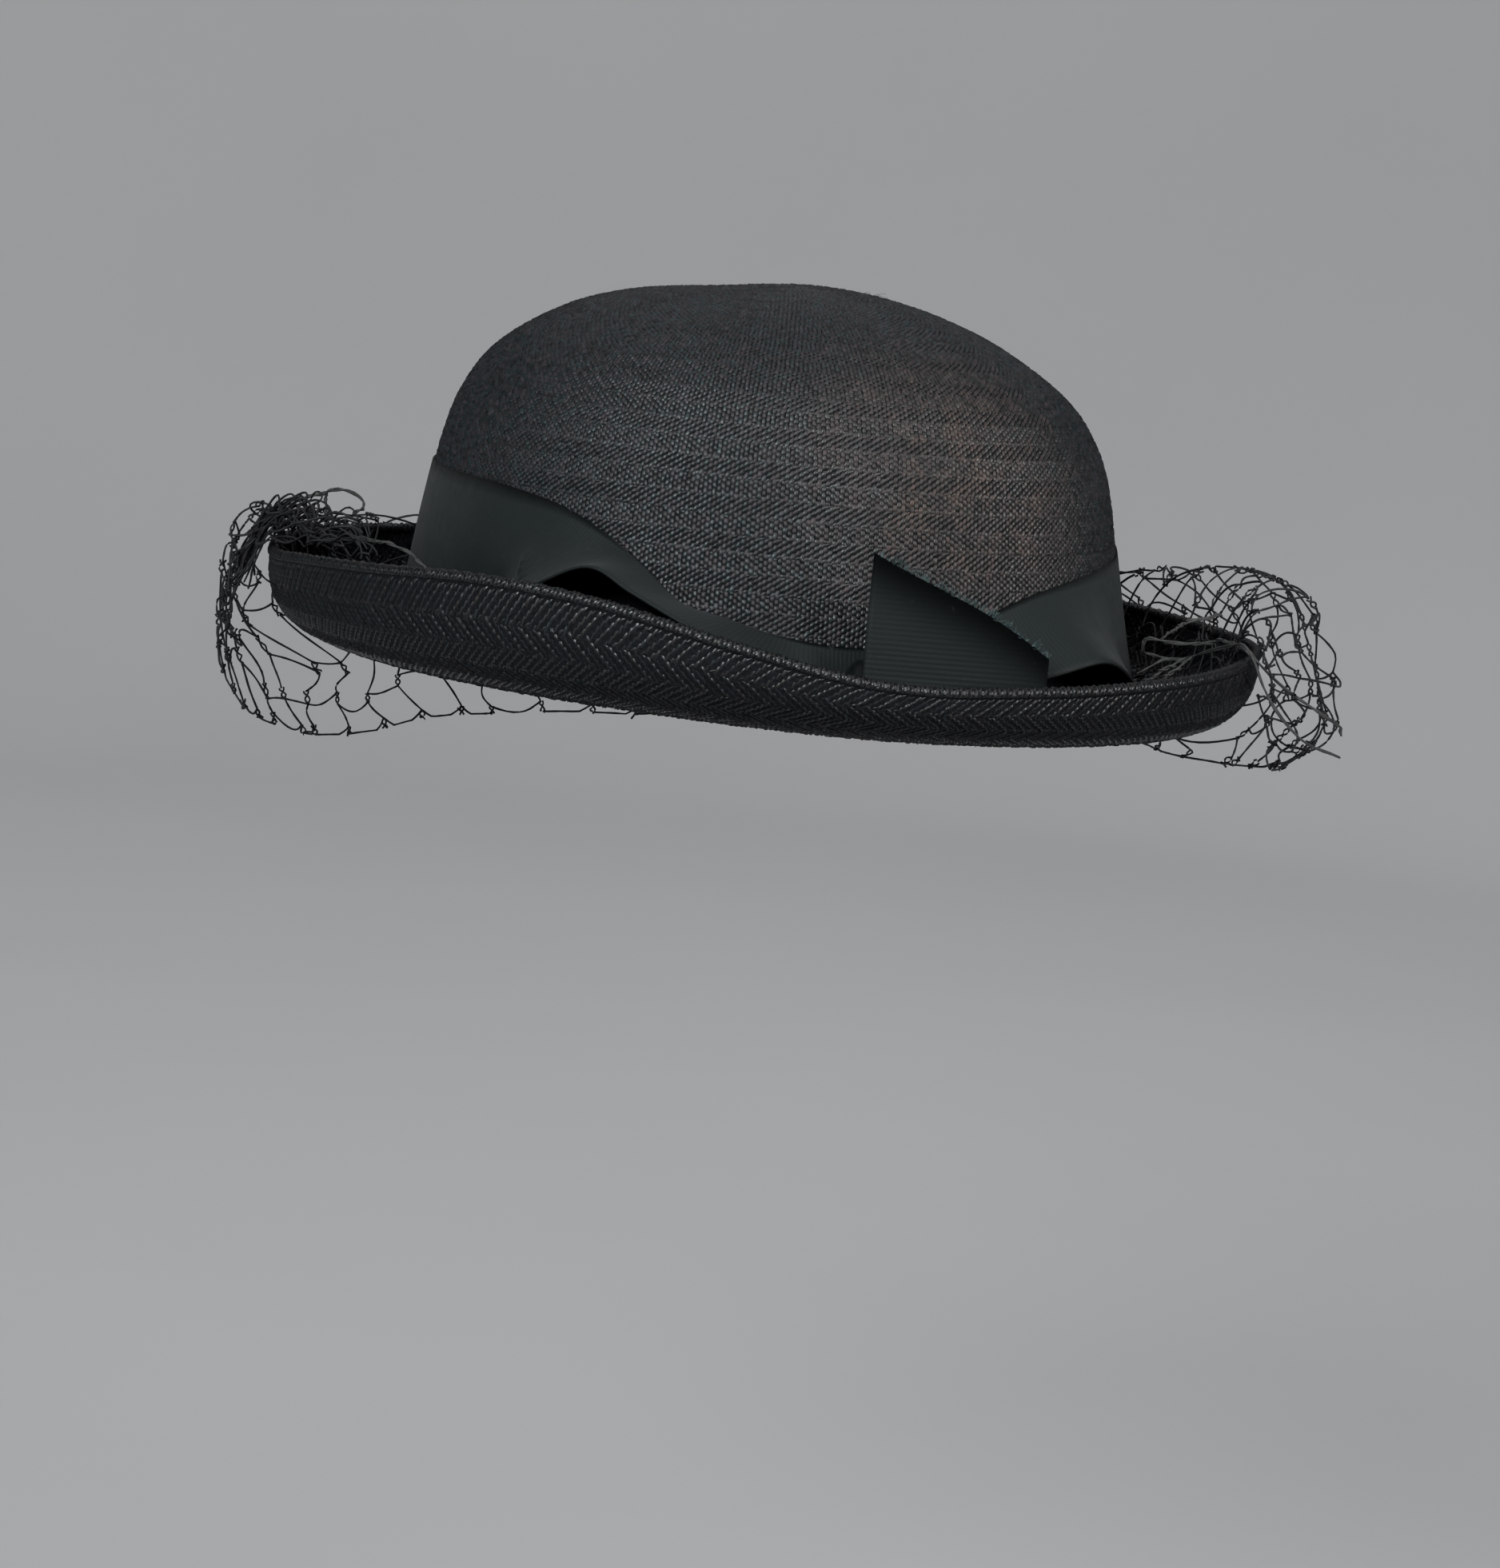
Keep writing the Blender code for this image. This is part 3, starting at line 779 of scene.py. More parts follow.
@dataclass(frozen=True)
class RibbonFinish:
    """Black grosgrain with a faint sheen, its rib crests painted lighter and its valleys darker as painted
    highlight and shade, painted shade where its ply is set, and a little lint.
    """

    name: str = "black_ribbon"
    # valley and crest: painted shade in the rib valleys and painted highlight on the crests, mixed by the
    # tint
    valley: tuple = (0.0064, 0.0094, 0.0098)
    crest: tuple = (0.0098, 0.0142, 0.0148)
    # painted shade colour, mixed in by the ply share that the band's top edge, the tail's cut and the knot
    # carry
    painted_shade: tuple = (0.0010, 0.0014, 0.0015)
    lint: tuple = (0.12, 0.14, 0.14)
    lint_scale: float = 420
    lint_from: float = 0.74
    lint_full: float = 0.82
    lint_share: float = 0.10
    rough_scale: float = 300
    rough_low: float = 0.52
    rough_high: float = 0.74
    gloss: float = 0.27
    # the gloss left where painted shade is full
    shade_gloss: float = 0.02
    sheen: float = 0.03
    sheen_roughness: float = 0.5
    grain: Grain = Grain(scale=3200, detail=2.0, height=0.00008, strength=0.5)

    def make(self) -> bpy.types.Material:
        """Make the material.

        Returns:
            The material.
        """
        nodes = Nodes(self.name)
        # the tint is the rib height: crests take the painted highlight colour, valleys the painted shade
        # colour
        colour = nodes.mix(nodes.attribute("tint"), self.valley, self.crest)
        # painted shade: on ribbon pieces the ply attribute is the share of painted shade
        colour = nodes.mix(nodes.attribute("ply"), colour, self.painted_shade)
        specks = nodes.ramp(nodes.noise(self.lint_scale, 1.0), [
            (0.0, (0, 0, 0)), (self.lint_from, (0, 0, 0)), (self.lint_full, (1, 1, 1))])
        nodes.put(nodes.shader.inputs["Base Color"],
                  nodes.mix(nodes.maths("MULTIPLY", specks, self.lint_share), colour, self.lint))
        nodes.put(nodes.shader.inputs["Roughness"],
                  nodes.spread(nodes.noise(self.rough_scale), self.rough_low, self.rough_high))
        # the gloss falls towards shade_gloss where painted shade is set, darkening it further
        nodes.put(nodes.shader.inputs["Specular IOR Level"],
                  nodes.spread(nodes.attribute("ply"), self.gloss, self.shade_gloss))
        nodes.shader.inputs["Sheen Weight"].default_value = self.sheen
        nodes.shader.inputs["Sheen Roughness"].default_value = self.sheen_roughness
        nodes.grain(self.grain)
        return nodes.finish


@dataclass(frozen=True)
class ThreadFinish:
    """Stiff twisted thread, of a net or of a frayed end."""

    name: str
    colour: tuple
    pale: tuple
    roughness: float = 0.5
    blot_scale: float = 700
    blot_low: float = -0.6
    grain: Grain = Grain(scale=4200, detail=1.0, height=0.00008, strength=0.7)

    def make(self) -> bpy.types.Material:
        """Make the material.

        Returns:
            The material.
        """
        nodes = Nodes(self.name)
        blots = nodes.spread(nodes.noise(self.blot_scale), self.blot_low, 1.0)
        nodes.put(nodes.shader.inputs["Base Color"], nodes.mix(blots, self.colour, self.pale))
        nodes.shader.inputs["Roughness"].default_value = self.roughness
        nodes.grain(self.grain)
        return nodes.finish


def fibres(name: str, lines: Sequence[Shape], radius: float, finish: bpy.types.Material) -> bpy.types.Object:
    """Make fine fibres, tapering to their ends.

    Args:
        name: the piece's name.
        lines: each fibre's points.
        radius: a fibre's radius at its root.
        finish: their material.

    Returns:
        The piece.
    """
    points, faces, count = [], [], 0
    for line in lines:
        tube, quads = tube_points(line, radius * np.linspace(1.1, 0.5, len(line)), 4)
        points.append(tube)
        faces.append(quads + count)
        count += len(tube)
    piece = make_object(name, np.concatenate(points), [np.concatenate(faces)], finish)
    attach(piece, "root")
    return piece


@dataclass(frozen=True)
class Weave:
    """A two-and-two herringbone twill of straw.

    A straw is one cell wide and one or two rows long. Lengths are metres. Slants, gap, jitter and
    ridge are shares of a straw, and tones say how light a straw is at its ridge and at its foot; the
    darker foot is painted shade where the straw dips between its neighbours.
    """

    cell: float = 0.00097
    row: float = 0.00067
    rows_in_band: int = 6
    high: float = 0.00044
    low: float = 0.00030
    short: float = 0.6
    sink: float = 0.00010
    slant: float = 0.14
    turn_slant: float = 0.15
    gap: float = 0.04
    jitter: float = 0.20
    ridge: float = 0.25
    seam_shift: float = 0.7
    runs_on: float = 0.6
    lean_scatter: float = 0.08
    tone: float = 0.57
    tone_scatter: float = 0.25
    tone_least: float = 0.10
    tone_most: float = 1.2
    # share of the tone at a straw's foot: painted shade where it dips between its neighbours
    painted_shade_foot_tone: float = 0.50
    lift_least: float = 0.8
    lift_scatter: float = 0.4
    long_from: float = 1.9


@dataclass(frozen=True)
class Patch:
    """A face of the hat that straw is woven over.

    place gives points at shares round and up, length is the distance up, and hidden says which
    places lie behind something and need no straw.
    """

    place: Callable[[Shape, Shape], Shape]
    length: float
    hidden: Callable[[Shape, Shape], Shape]
    inside: bool = False

    def around(self, share: float) -> float:
        """Return the length round the face at a share of the way up."""
        ring = self.place(np.linspace(0, 1, RING_STEPS), np.full(RING_STEPS, share))
        return float(np.linalg.norm(np.diff(ring, axis=0), axis=1).sum())


@dataclass
class Woven:
    """What weaving gives: points, faces, and a tint and a ply for each point."""

    points: Shape
    faces: list[Shape]
    tints: Shape
    plies: Shape


def list_straws(patch: Patch, weave: Weave, chance: np.random.Generator) -> Shape:
    """List every straw that shows on a patch, in a herringbone of two up and two down.

    Args:
        patch: the face to cover.
        weave: the weave's sizes.
        chance: where its chance comes from.

    Returns:
        A row for each straw: where it starts and ends round and up, whether it is a high one, and
        which way its band runs.
    """
    rows = weave.rows_in_band
    bands = max(int(round(patch.length / (weave.row * rows))), 1)
    found = []
    for band in range(bands):
        count = max(4 * int(round(patch.around((band + 0.5) / bands) / weave.cell / 4)), 8)
        i = np.arange(count)
        way = 1 if band % 2 == 0 else -1
        start = 0 if band % 2 == 0 else rows
        up = [(i + start + way * row) % 4 < 2 for row in range(rows)]
        for row in range(rows):
            for high in (True, False):
                here = up[row] if high else ~up[row]
                began = np.zeros(count, bool) if row == 0 else (up[row - 1] == high)
                if row == rows - 1:
                    goes_on = chance.random(count) < weave.runs_on
                else:
                    goes_on = up[row + 1] == high
                spot = i[here & ~began]
                tall = 1 + goes_on[spot]
                flat = np.zeros(len(spot))
                seam = row == 0 and band > 0
                early = weave.seam_shift * chance.random(len(spot)) if seam else flat
                low = (band + (row - early) / rows) / bands
                top = (band + (row + tall) / rows) / bands
                found.append(np.stack([spot / count, (spot + 1) / count, low, top,
                                       high + flat, way + flat], axis=1))
    return np.concatenate(found)


def weave_patch(patch: Patch, weave: Weave, seed: int) -> Woven:
    """Weave straw over a patch.

    Args:
        patch: the face to cover.
        weave: the weave's sizes.
        seed: where its chance begins.

    Returns:
        The straws, each a small ridge with sloping ends.
    """
    chance = np.random.default_rng(seed)
    u0, u1, v0, v1, high, way = list_straws(patch, weave, chance).T
    seen = ~patch.hidden((u0 + u1) / 2, (v0 + v1) / 2)
    u0, u1, v0, v1, high, way = (part[seen] for part in (u0, u1, v0, v1, high, way))
    wide, tall = u1 - u0, v1 - v0
    nudge = weave.gap + weave.jitter * (chance.random((4, len(u0))) - 0.5)
    u0, u1 = u0 + wide * nudge[0], u1 - wide * nudge[1]
    v0, v1 = v0 + tall * nudge[2] / 2, v1 - tall * nudge[3] / 2
    lean = weave.slant + weave.turn_slant * way
    lean = wide * (lean + weave.lean_scatter * chance.standard_normal(len(u0)))
    uc, vc = (u0 + u1) / 2, (v0 + v1) / 2
    ridge = tall * weave.ridge
    us = columns_of(u0 - lean, u1 - lean, u1 + lean, u0 + lean, uc - lean / 2, uc + lean / 2)
    vs = np.clip(columns_of(v0, v0, v1, v1, v0 + ridge, v1 - ridge), 0, 1)
    points = patch.place(us, vs)
    step_u, step_v = 0.0005, 0.004
    above, below = np.clip(vc + step_v, 0, 1), np.clip(vc - step_v, 0, 1)
    across = patch.place(uc + step_u, vc) - patch.place(uc - step_u, vc)
    upward = patch.place(uc, above) - patch.place(uc, below)
    normal = unit(np.cross(across, upward)) * (-1 if patch.inside else 1)
    share = weave.lift_least + weave.lift_scatter * chance.random(len(u0))
    lift = np.where(high > 0.5, weave.high, weave.low) * share
    one_row = tall < weave.long_from * weave.row / patch.length
    lift = lift * np.where(one_row, weave.short, 1.0)
    raised = np.array([0, 0, 0, 0, 1, 1.0])[None, :] * lift[:, None]
    sunk = np.array([1, 1, 1, 1, 0, 0.0])[None, :] * weave.sink
    points = points + normal[:, None, :] * (raised - sunk)[..., None]
    base = 6 * np.arange(len(u0))[:, None]
    quads = np.concatenate([base + [1, 2, 5, 4], base + [3, 0, 4, 5]])
    ends = np.concatenate([base + [0, 1, 4], base + [2, 3, 5]])
    if patch.inside:
        quads, ends = quads[:, ::-1], ends[:, ::-1]
    tone = np.clip(weave.tone + weave.tone_scatter * chance.standard_normal(len(u0)),
                   weave.tone_least, weave.tone_most)
    # each straw's four foot points are darker than its ridge: painted shade
    tints = tone[:, None] * np.array([weave.painted_shade_foot_tone] * 4 + [1.0] * 2)
    plies = np.repeat(chance.random(len(u0))[:, None], 6, axis=1)
    return Woven(points.reshape(-1, 3), [quads, ends], tints.ravel(), plies.ravel())


@dataclass
class Crown:
    """The blocked crown: a smooth ground and the straw woven over it."""

    form: HatForm
    straw: bpy.types.Material
    ground: bpy.types.Material
    weave: Weave = field(default_factory=Weave)
    columns: int = 192
    rings: int = 72
    set_in: float = 0.00012
    tip_share: float = 0.988
    band_cover: float = 0.003
    crowding: float = 2.0
    facing_height: float = 0.2
    facing_weights: tuple = (1, 0.72, 1.2)
    stray_roots: tuple = ((0.5, 0.990), (2.0, 0.988), (357.0, 0.985), (4.0, 0.984))
    stray_length: float = 0.0040
    stray_radius: float = 0.00006
    stray_heading: tuple = (0.9, -0.2, 0.35)
    stray_splay: float = 0.25
    stray_droop: float = 0.0012
    stray_curl: float = 0.0003
    stray_turn: float = 6

    def __post_init__(self) -> None:
        """Measure the profile, so that rows of straw lie evenly along it."""
        heights = 1 - (1 - np.linspace(0, 1, 600)) ** self.crowding
        side = self.form.crown_point(0.0, heights)
        back = self.form.crown_point(270.0, heights)[:, [1, 0, 2]] * np.array([-1, 1, 1])
        line = (side + back) / 2
        run = np.concatenate([[0], np.cumsum(np.linalg.norm(np.diff(line, axis=0), axis=1))])
        self.length = float(run[-1])
        self.shares = run / run[-1]
        self.heights = heights
        self.turns = even_turns(self.form, 0.0)

    def height_at(self, share: Shape) -> Shape:
        """Return the share of the rise at a share of the way up the profile."""
        return np.interp(share, self.shares, self.heights)

    def place(self, turn: Shape, share: Shape) -> Shape:
        """Return points at shares round the hat and up the profile."""
        return self.form.crown_point(self.turns(turn), self.height_at(share))

    def hidden(self, turn: Shape, share: Shape) -> Shape:
        """Say which places lie behind the band or past the tip.

        Args:
            turn: shares round the hat.
            share: shares up the profile.

        Returns:
            Whether each place is hidden.
        """
        angle = self.turns(turn)
        lift = self.height_at(share) * self.form.crown_rise
        top = self.form.band_lift + self.form.ribbon_width * self.form.band_top.at(angle)
        return (lift < top - self.band_cover) | (share > self.tip_share)

    def build(self) -> list[bpy.types.Object]:
        """Build the crown's pieces.

        Returns:
            The ground and the woven straw.
        """
        form = self.form
        seat = (form.collar_bend - form.straw_wall - form.fit_gap) / form.crown_rise
        rings = np.arange(self.rings) / self.rings
        heights = seat + (1 - seat) * (1 - (1 - rings) ** self.crowding)
        angles = self.turns(np.arange(self.columns) / self.columns)
        outer = form.crown_point(angles[None, :], heights[:, None])
        focus = np.array([0, 0, form.headline_height + form.crown_rise * self.facing_height])
        facing = unit((outer - focus) * np.array(self.facing_weights))
        inner = outer - facing * form.straw_wall
        outer = outer - facing * self.set_in
        inner[0, :, 2] = outer[0, :, 2]
        tip = form.crown_point(np.array([0.0]), np.array([1.0]))
        points = np.concatenate([outer.reshape(-1, 3), inner.reshape(-1, 3),
                                 tip - [0, 0, self.set_in], tip - [0, 0, form.straw_wall]])
        side = self.rings * self.columns
        c = np.arange(self.columns)
        after = (c + 1) % self.columns
        last = (self.rings - 1) * self.columns
        quads = np.concatenate([
            grid_faces(self.rings, self.columns, False, True),
            side + grid_faces(self.rings, self.columns, False, True, flip=True),
            np.stack([c, side + c, side + after, after], axis=1),
        ])
        caps = np.concatenate([
            np.stack([last + c, last + after, np.full_like(c, 2 * side)], axis=1),
            np.stack([side + last + after, side + last + c, np.full_like(c, 2 * side + 1)], axis=1),
        ])
        ground = make_object("crown_ground", points, [quads, caps], self.ground)
        patch = Patch(self.place, self.length, self.hidden)
        woven = weave_patch(patch, self.weave, SEED)
        straw = make_object("crown_straw_weave", woven.points, woven.faces, self.straw,
                            woven.tints, woven.plies)
        for piece in (ground, straw):
            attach(piece, "root")
        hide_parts("crown")
        return [ground, straw, self.build_stray_fibres()]

    def build_stray_fibres(self) -> bpy.types.Object:
        """Build the few loose fibres that stand off the crown's top.

        Returns:
            The piece.
        """
        chance = np.random.default_rng(SEED + 40)
        lines = []
        t = np.linspace(0, 1, 8)[:, None]
        for angle, height in self.stray_roots:
            root = self.form.crown_point(np.array(angle), np.array(height))
            heading = np.array(self.stray_heading) + chance.normal(0, self.stray_splay, 3)
            heading = unit(heading) * self.stray_length
            lines.append(root + heading * t + np.array([0, 0, -self.stray_droop]) * t * t
                         + chance.normal(0, self.stray_curl, 3) * np.sin(self.stray_turn * t))
        return fibres("crown_stray_fibres", lines, self.stray_radius, self.straw)


class BrimSide(Enum):
    """The faces of the brim that straw is woven over."""

    OUTER = "brim_outer_weave"
    INNER = "brim_inner_weave"
    EDGE = "brim_edge_binding"


@dataclass
class Brim:
    """The turned-up brim: ground, straw on both faces and the bound edge."""

    form: HatForm
    straw: bpy.types.Material
    ground: bpy.types.Material
    weave: Weave = field(default_factory=lambda: Weave(
        cell=0.00104, row=0.00082, rows_in_band=5, high=0.00042, low=0.00010, slant=0.0,
        turn_slant=-0.50, gap=0.13))
    edge_weave: Weave = field(default_factory=lambda: Weave(
        cell=0.0010, row=0.00078, rows_in_band=7, high=0.00034, low=0.00016))
    columns: int = 320
    steps: int = 28
    bead_steps: int = 14
    outer_end: float = 0.998
    inner_start: float = 0.02
    bend_steps: int = 8
    bead_sink: float = 0.00015

    def __post_init__(self) -> None:
        """Measure the brim, so that straw lies evenly round it."""
        self.turns = even_turns(self.form, 0.6 * self.form.brim_reach)
        out, high = self.form.brim_under(np.array([[0.0], [90.0], [180.0], [270.0]]),
                                         np.linspace(0, 1, 60)[None, :])
        run = np.hypot(np.diff(out, axis=1), np.diff(high, axis=1)).sum(axis=1)
        self.length = float(run.mean())

    def edge_frame(self, angle: Shape) -> tuple[Shape, Shape, Shape, Shape, Shape, Shape]:
        """Return the bead's centre and its two directions in the section.

        Args:
            angle: the angles.

        Returns:
            How far out and how high the centre is, then the same for the way up the brim and for
            the way to its outer side.
        """
        middle = self.form.straw_wall / 2
        tip_out, tip_high = self.form.brim_under(angle, np.ones_like(angle), middle)
        base_out, base_high = self.form.brim_under(angle, np.full_like(angle, 0.97), middle)
        size = np.hypot(tip_out - base_out, tip_high - base_high)
        rise_out, rise_high = (tip_out - base_out) / size, (tip_high - base_high) / size
        seat = self.form.bead_radius * self.form.bead_seat
        return (tip_out + rise_out * seat, tip_high + rise_high * seat, rise_out, rise_high,
                rise_high, -rise_out)

    def bead(self, angle: Shape, share: Shape, grow: float = 0.0) -> Shape:
        """Return points round the bead.

        Args:
            angle: the angles.
            share: shares of the way from the outer face over the top to the inner one.
            grow: how much wider the bead is made.

        Returns:
            The points.
        """
        angle, share = np.broadcast_arrays(np.asarray(angle, float), np.asarray(share, float))
        out, high, rise_out, rise_high, side_out, side_high = self.edge_frame(angle)
        turn = np.radians(self.form.bead_sweep * (1 - 2 * share))
        radius = self.form.bead_radius + grow
        return self.form.at_section(
            angle,
            out + (rise_out * np.cos(turn) + side_out * np.sin(turn)) * radius,
            high + (rise_high * np.cos(turn) + side_high * np.sin(turn)) * radius)

    def ground_points(self) -> Shape:
        """Work out the closed section of the brim at every angle.

        Returns:
            Its points, a row for each angle.
        """
        form = self.form
        angle = self.turns(np.arange(self.columns) / self.columns)[:, None]
        gap = form.straw_wall + form.fit_gap + form.straw_wall
        collar = form.set_back(angle, np.full_like(angle, form.collar_bend)) - gap
        top = form.set_back(angle, np.full_like(angle, form.collar_rise)) - gap
        low = form.headline_height - collar * form.trough_drop / form.trough_run
        t = np.linspace(0, 1, self.bend_steps)[None, :]
        bend_out = (1 - t) ** 2 * collar + 2 * t * (1 - t) * collar
        bend_high = ((1 - t) ** 2 * (form.headline_height + form.collar_bend)
                     + 2 * t * (1 - t) * low + t * t * form.headline_height)
        under_out, under_high = form.brim_under(angle, np.linspace(0, 1, self.steps)[None, 1:])
        outs = np.concatenate([top, bend_out, under_out], axis=1)
        top_high = 0 * top + form.headline_height + form.collar_rise
        highs = np.concatenate([top_high, bend_high, under_high], axis=1)
        run, rise = np.gradient(outs, axis=1), np.gradient(highs, axis=1)
        size = np.hypot(run, rise)
        upper_out = outs - rise / size * form.straw_wall
        upper_high = highs + run / size * form.straw_wall
        under = form.at_section(angle, outs, highs)
        upper = form.at_section(angle, upper_out, upper_high)
        bead = self.bead(angle, np.linspace(0, 1, self.bead_steps)[None, :], -self.bead_sink)
        return np.concatenate([under, bead, upper[:, ::-1]], axis=1)

    def patch(self, side: BrimSide) -> Patch:
        """Return the face that straw is woven over on one side of the brim.

        Args:
            side: the side.

        Returns:
            The face.
        """
        def place(turn: Shape, share: Shape) -> Shape:
            """Return points of the face.

            Args:
                turn: shares round the brim.
                share: shares of the way out to its edge.

            Returns:
                The points.
            """
            angle = self.turns(turn)
            if side is BrimSide.EDGE:
                return self.bead(angle, share)
            if side is BrimSide.OUTER:
                out, high = self.form.brim_under(angle, share * self.outer_end, 0.0)
            else:
                t = self.inner_start + (1 - self.inner_start) * share
                out, high = self.form.brim_under(angle, t, self.form.straw_wall)
            return self.form.at_section(angle, out, high)

        def hidden(turn: Shape, share: Shape) -> Shape:
            """Say that nothing is hidden."""
            return np.zeros(np.shape(turn), bool)

        sweep = math.radians(2 * self.form.bead_sweep) * self.form.bead_radius
        length = sweep if side is BrimSide.EDGE else self.length
        return Patch(place, length, hidden, inside=side is BrimSide.INNER)

    def build(self) -> list[bpy.types.Object]:
        """Build the brim's pieces.

        Returns:
            The ground, the straw on each face and the bound edge.
        """
        points = self.ground_points()
        faces = grid_faces(points.shape[0], points.shape[1], True, True)
        ground = make_object("brim_ground", points, [faces], self.ground)
        pieces = [ground]
        for k, side in enumerate(BrimSide):
            weave = self.edge_weave if side is BrimSide.EDGE else self.weave
            woven = weave_patch(self.patch(side), weave, SEED + 1 + k)
            pieces.append(make_object(side.value, woven.points, woven.faces, self.straw,
                                      woven.tints, woven.plies))
        for piece in pieces:
            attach(piece, "root")
        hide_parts("brim")
        return pieces


def ribbon_sheet(face: Shape, wall: float, rib: Shape,
                 closed: bool) -> tuple[Shape, list[Shape], Shape]:
    """Turn a grid of a ribbon's inner face into a thin closed sheet with ribs.

    Args:
        face: the grid of points, rows across the ribbon and columns along it.
        wall: the ribbon's thickness.
        rib: how far each point's rib stands out, as a length.
        closed: whether the ribbon closes on itself.

    Returns:
        The points, the faces and each point's share of a rib's height as its tint.
    """
    rows, columns = face.shape[:2]
    if closed:
        along = np.roll(face, -1, axis=1) - np.roll(face, 1, axis=1)
    else:
        along = np.gradient(face, axis=1)
    across = np.gradient(face, axis=0)
    normal = unit(np.cross(across, along))
    outer = face + normal * (wall + rib)[..., None]
    inner = face - normal * (INNER_RIB * rib)[..., None]
    points = np.concatenate([outer.reshape(-1, 3), inner.reshape(-1, 3)])
    side = rows * columns
    quads = [grid_faces(rows, columns, False, closed, flip=True),
             side + grid_faces(rows, columns, False, closed)]
    c = np.arange(columns if closed else columns - 1)
    after = (c + 1) % columns
    last = (rows - 1) * columns
    quads.append(np.stack([c, after, side + after, side + c], axis=1))
    quads.append(np.stack([last + after, last + c, side + last + c, side + last + after], axis=1))
    if not closed:
        r = np.arange(rows - 1) * columns
        end = r + columns - 1
        quads.append(np.stack([r, side + r, side + r + columns, r + columns], axis=1))
        quads.append(np.stack([end + columns, side + end + columns, side + end, end], axis=1))
    share = rib / max(float(rib.max()), 1e-9)
    return points, [np.concatenate(quads)], np.concatenate([share.ravel(), share.ravel()])


class Fold(NamedTuple):
    """A fold of the band: where it is, how it runs and how far it pushes out, or in if below 0."""

    angle: float
    down: float
    wide: float
    tall: float
    slope: float
    push: float


@dataclass
class Band:
    """The ribbon round the crown, with ribs across it and the folds by the bow."""

    form: HatForm
    finish: bpy.types.Material
    rib_pitch: float = 0.00095
    rib_height: float = 0.00004
    wall: float = 0.00060
    rows: int = 13
    in_rib: int = 4
    edge_rib: float = 0.2
    # painted shade along the band's top edge, the dark line where it stands off the crown
    top_shade: float = 0.9
    push_in_most: float = 0.7
    measure_steps: int = 400
    folds: tuple = (
        Fold(angle=220.5, down=0.58, wide=1.0, tall=0.16, slope=14, push=0.0024),
        Fold(angle=210, down=0.64, wide=7.5, tall=0.12, slope=14, push=-0.0026),
        Fold(angle=203, down=0.22, wide=9.0, tall=0.26, slope=0, push=0.0012),
    )

    def face(self, angle: Shape, down: Shape) -> Shape:
        """Return the ribbon's inner face with its folds.

        Args:
            angle: the angles.
            down: shares of the way down the ribbon.

        Returns:
            The points.
        """
        points = self.form.band_point(angle, down)
        push = np.zeros(np.broadcast(angle, down).shape)
        for fold in self.folds:
            off = ((angle - fold.angle - fold.slope * (down - fold.down) + 180) % 360 - 180)
            push = push + fold.push * np.exp(-(off / fold.wide) ** 2
                                             - ((down - fold.down) / fold.tall) ** 2)
        lean = self.form.band_lean * np.maximum(self.form.band_leans.at(angle), 0)
        room = lean * down ** self.form.band_lean_curve
        push = np.maximum(push, -self.push_in_most * room)
        return points + self.form.outward(angle + 0 * down) * push[..., None]

    def build(self) -> list[bpy.types.Object]:
        """Build the band.

        Returns:
            The band alone, in a list.
        """
        turns = even_turns(self.form, 0.0)
        steps = self.measure_steps
        ring = self.form.band_point(turns(np.linspace(0, 1, steps)), np.full(steps, 0.5))
        length = float(np.linalg.norm(np.diff(ring, axis=0), axis=1).sum())
        ribs = int(round(length / self.rib_pitch))
        columns = ribs * self.in_rib
        angle = turns(np.arange(columns) / columns)[None, :]
        down = np.linspace(0, 1, self.rows)[:, None]
        face = self.face(angle, down)
        rib = self.rib_height * (0.5 + 0.5 * np.cos(2 * np.pi * np.arange(columns) / self.in_rib))
        rib = np.broadcast_to(rib[None, :], (self.rows, columns)).copy()
        rib[[0, -1]] *= self.edge_rib
        points, faces, tints = ribbon_sheet(face, self.wall, rib, True)
        # painted shade on the top row, passed as the ribbon's ply share
        painted_shade = np.zeros((2, self.rows, columns))
        painted_shade[:, 0] = self.top_shade
        band = make_object("band_ribbon", points, faces, self.finish, tints, painted_shade)
        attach(band, "root")
        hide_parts("hat_band")
        return [band]


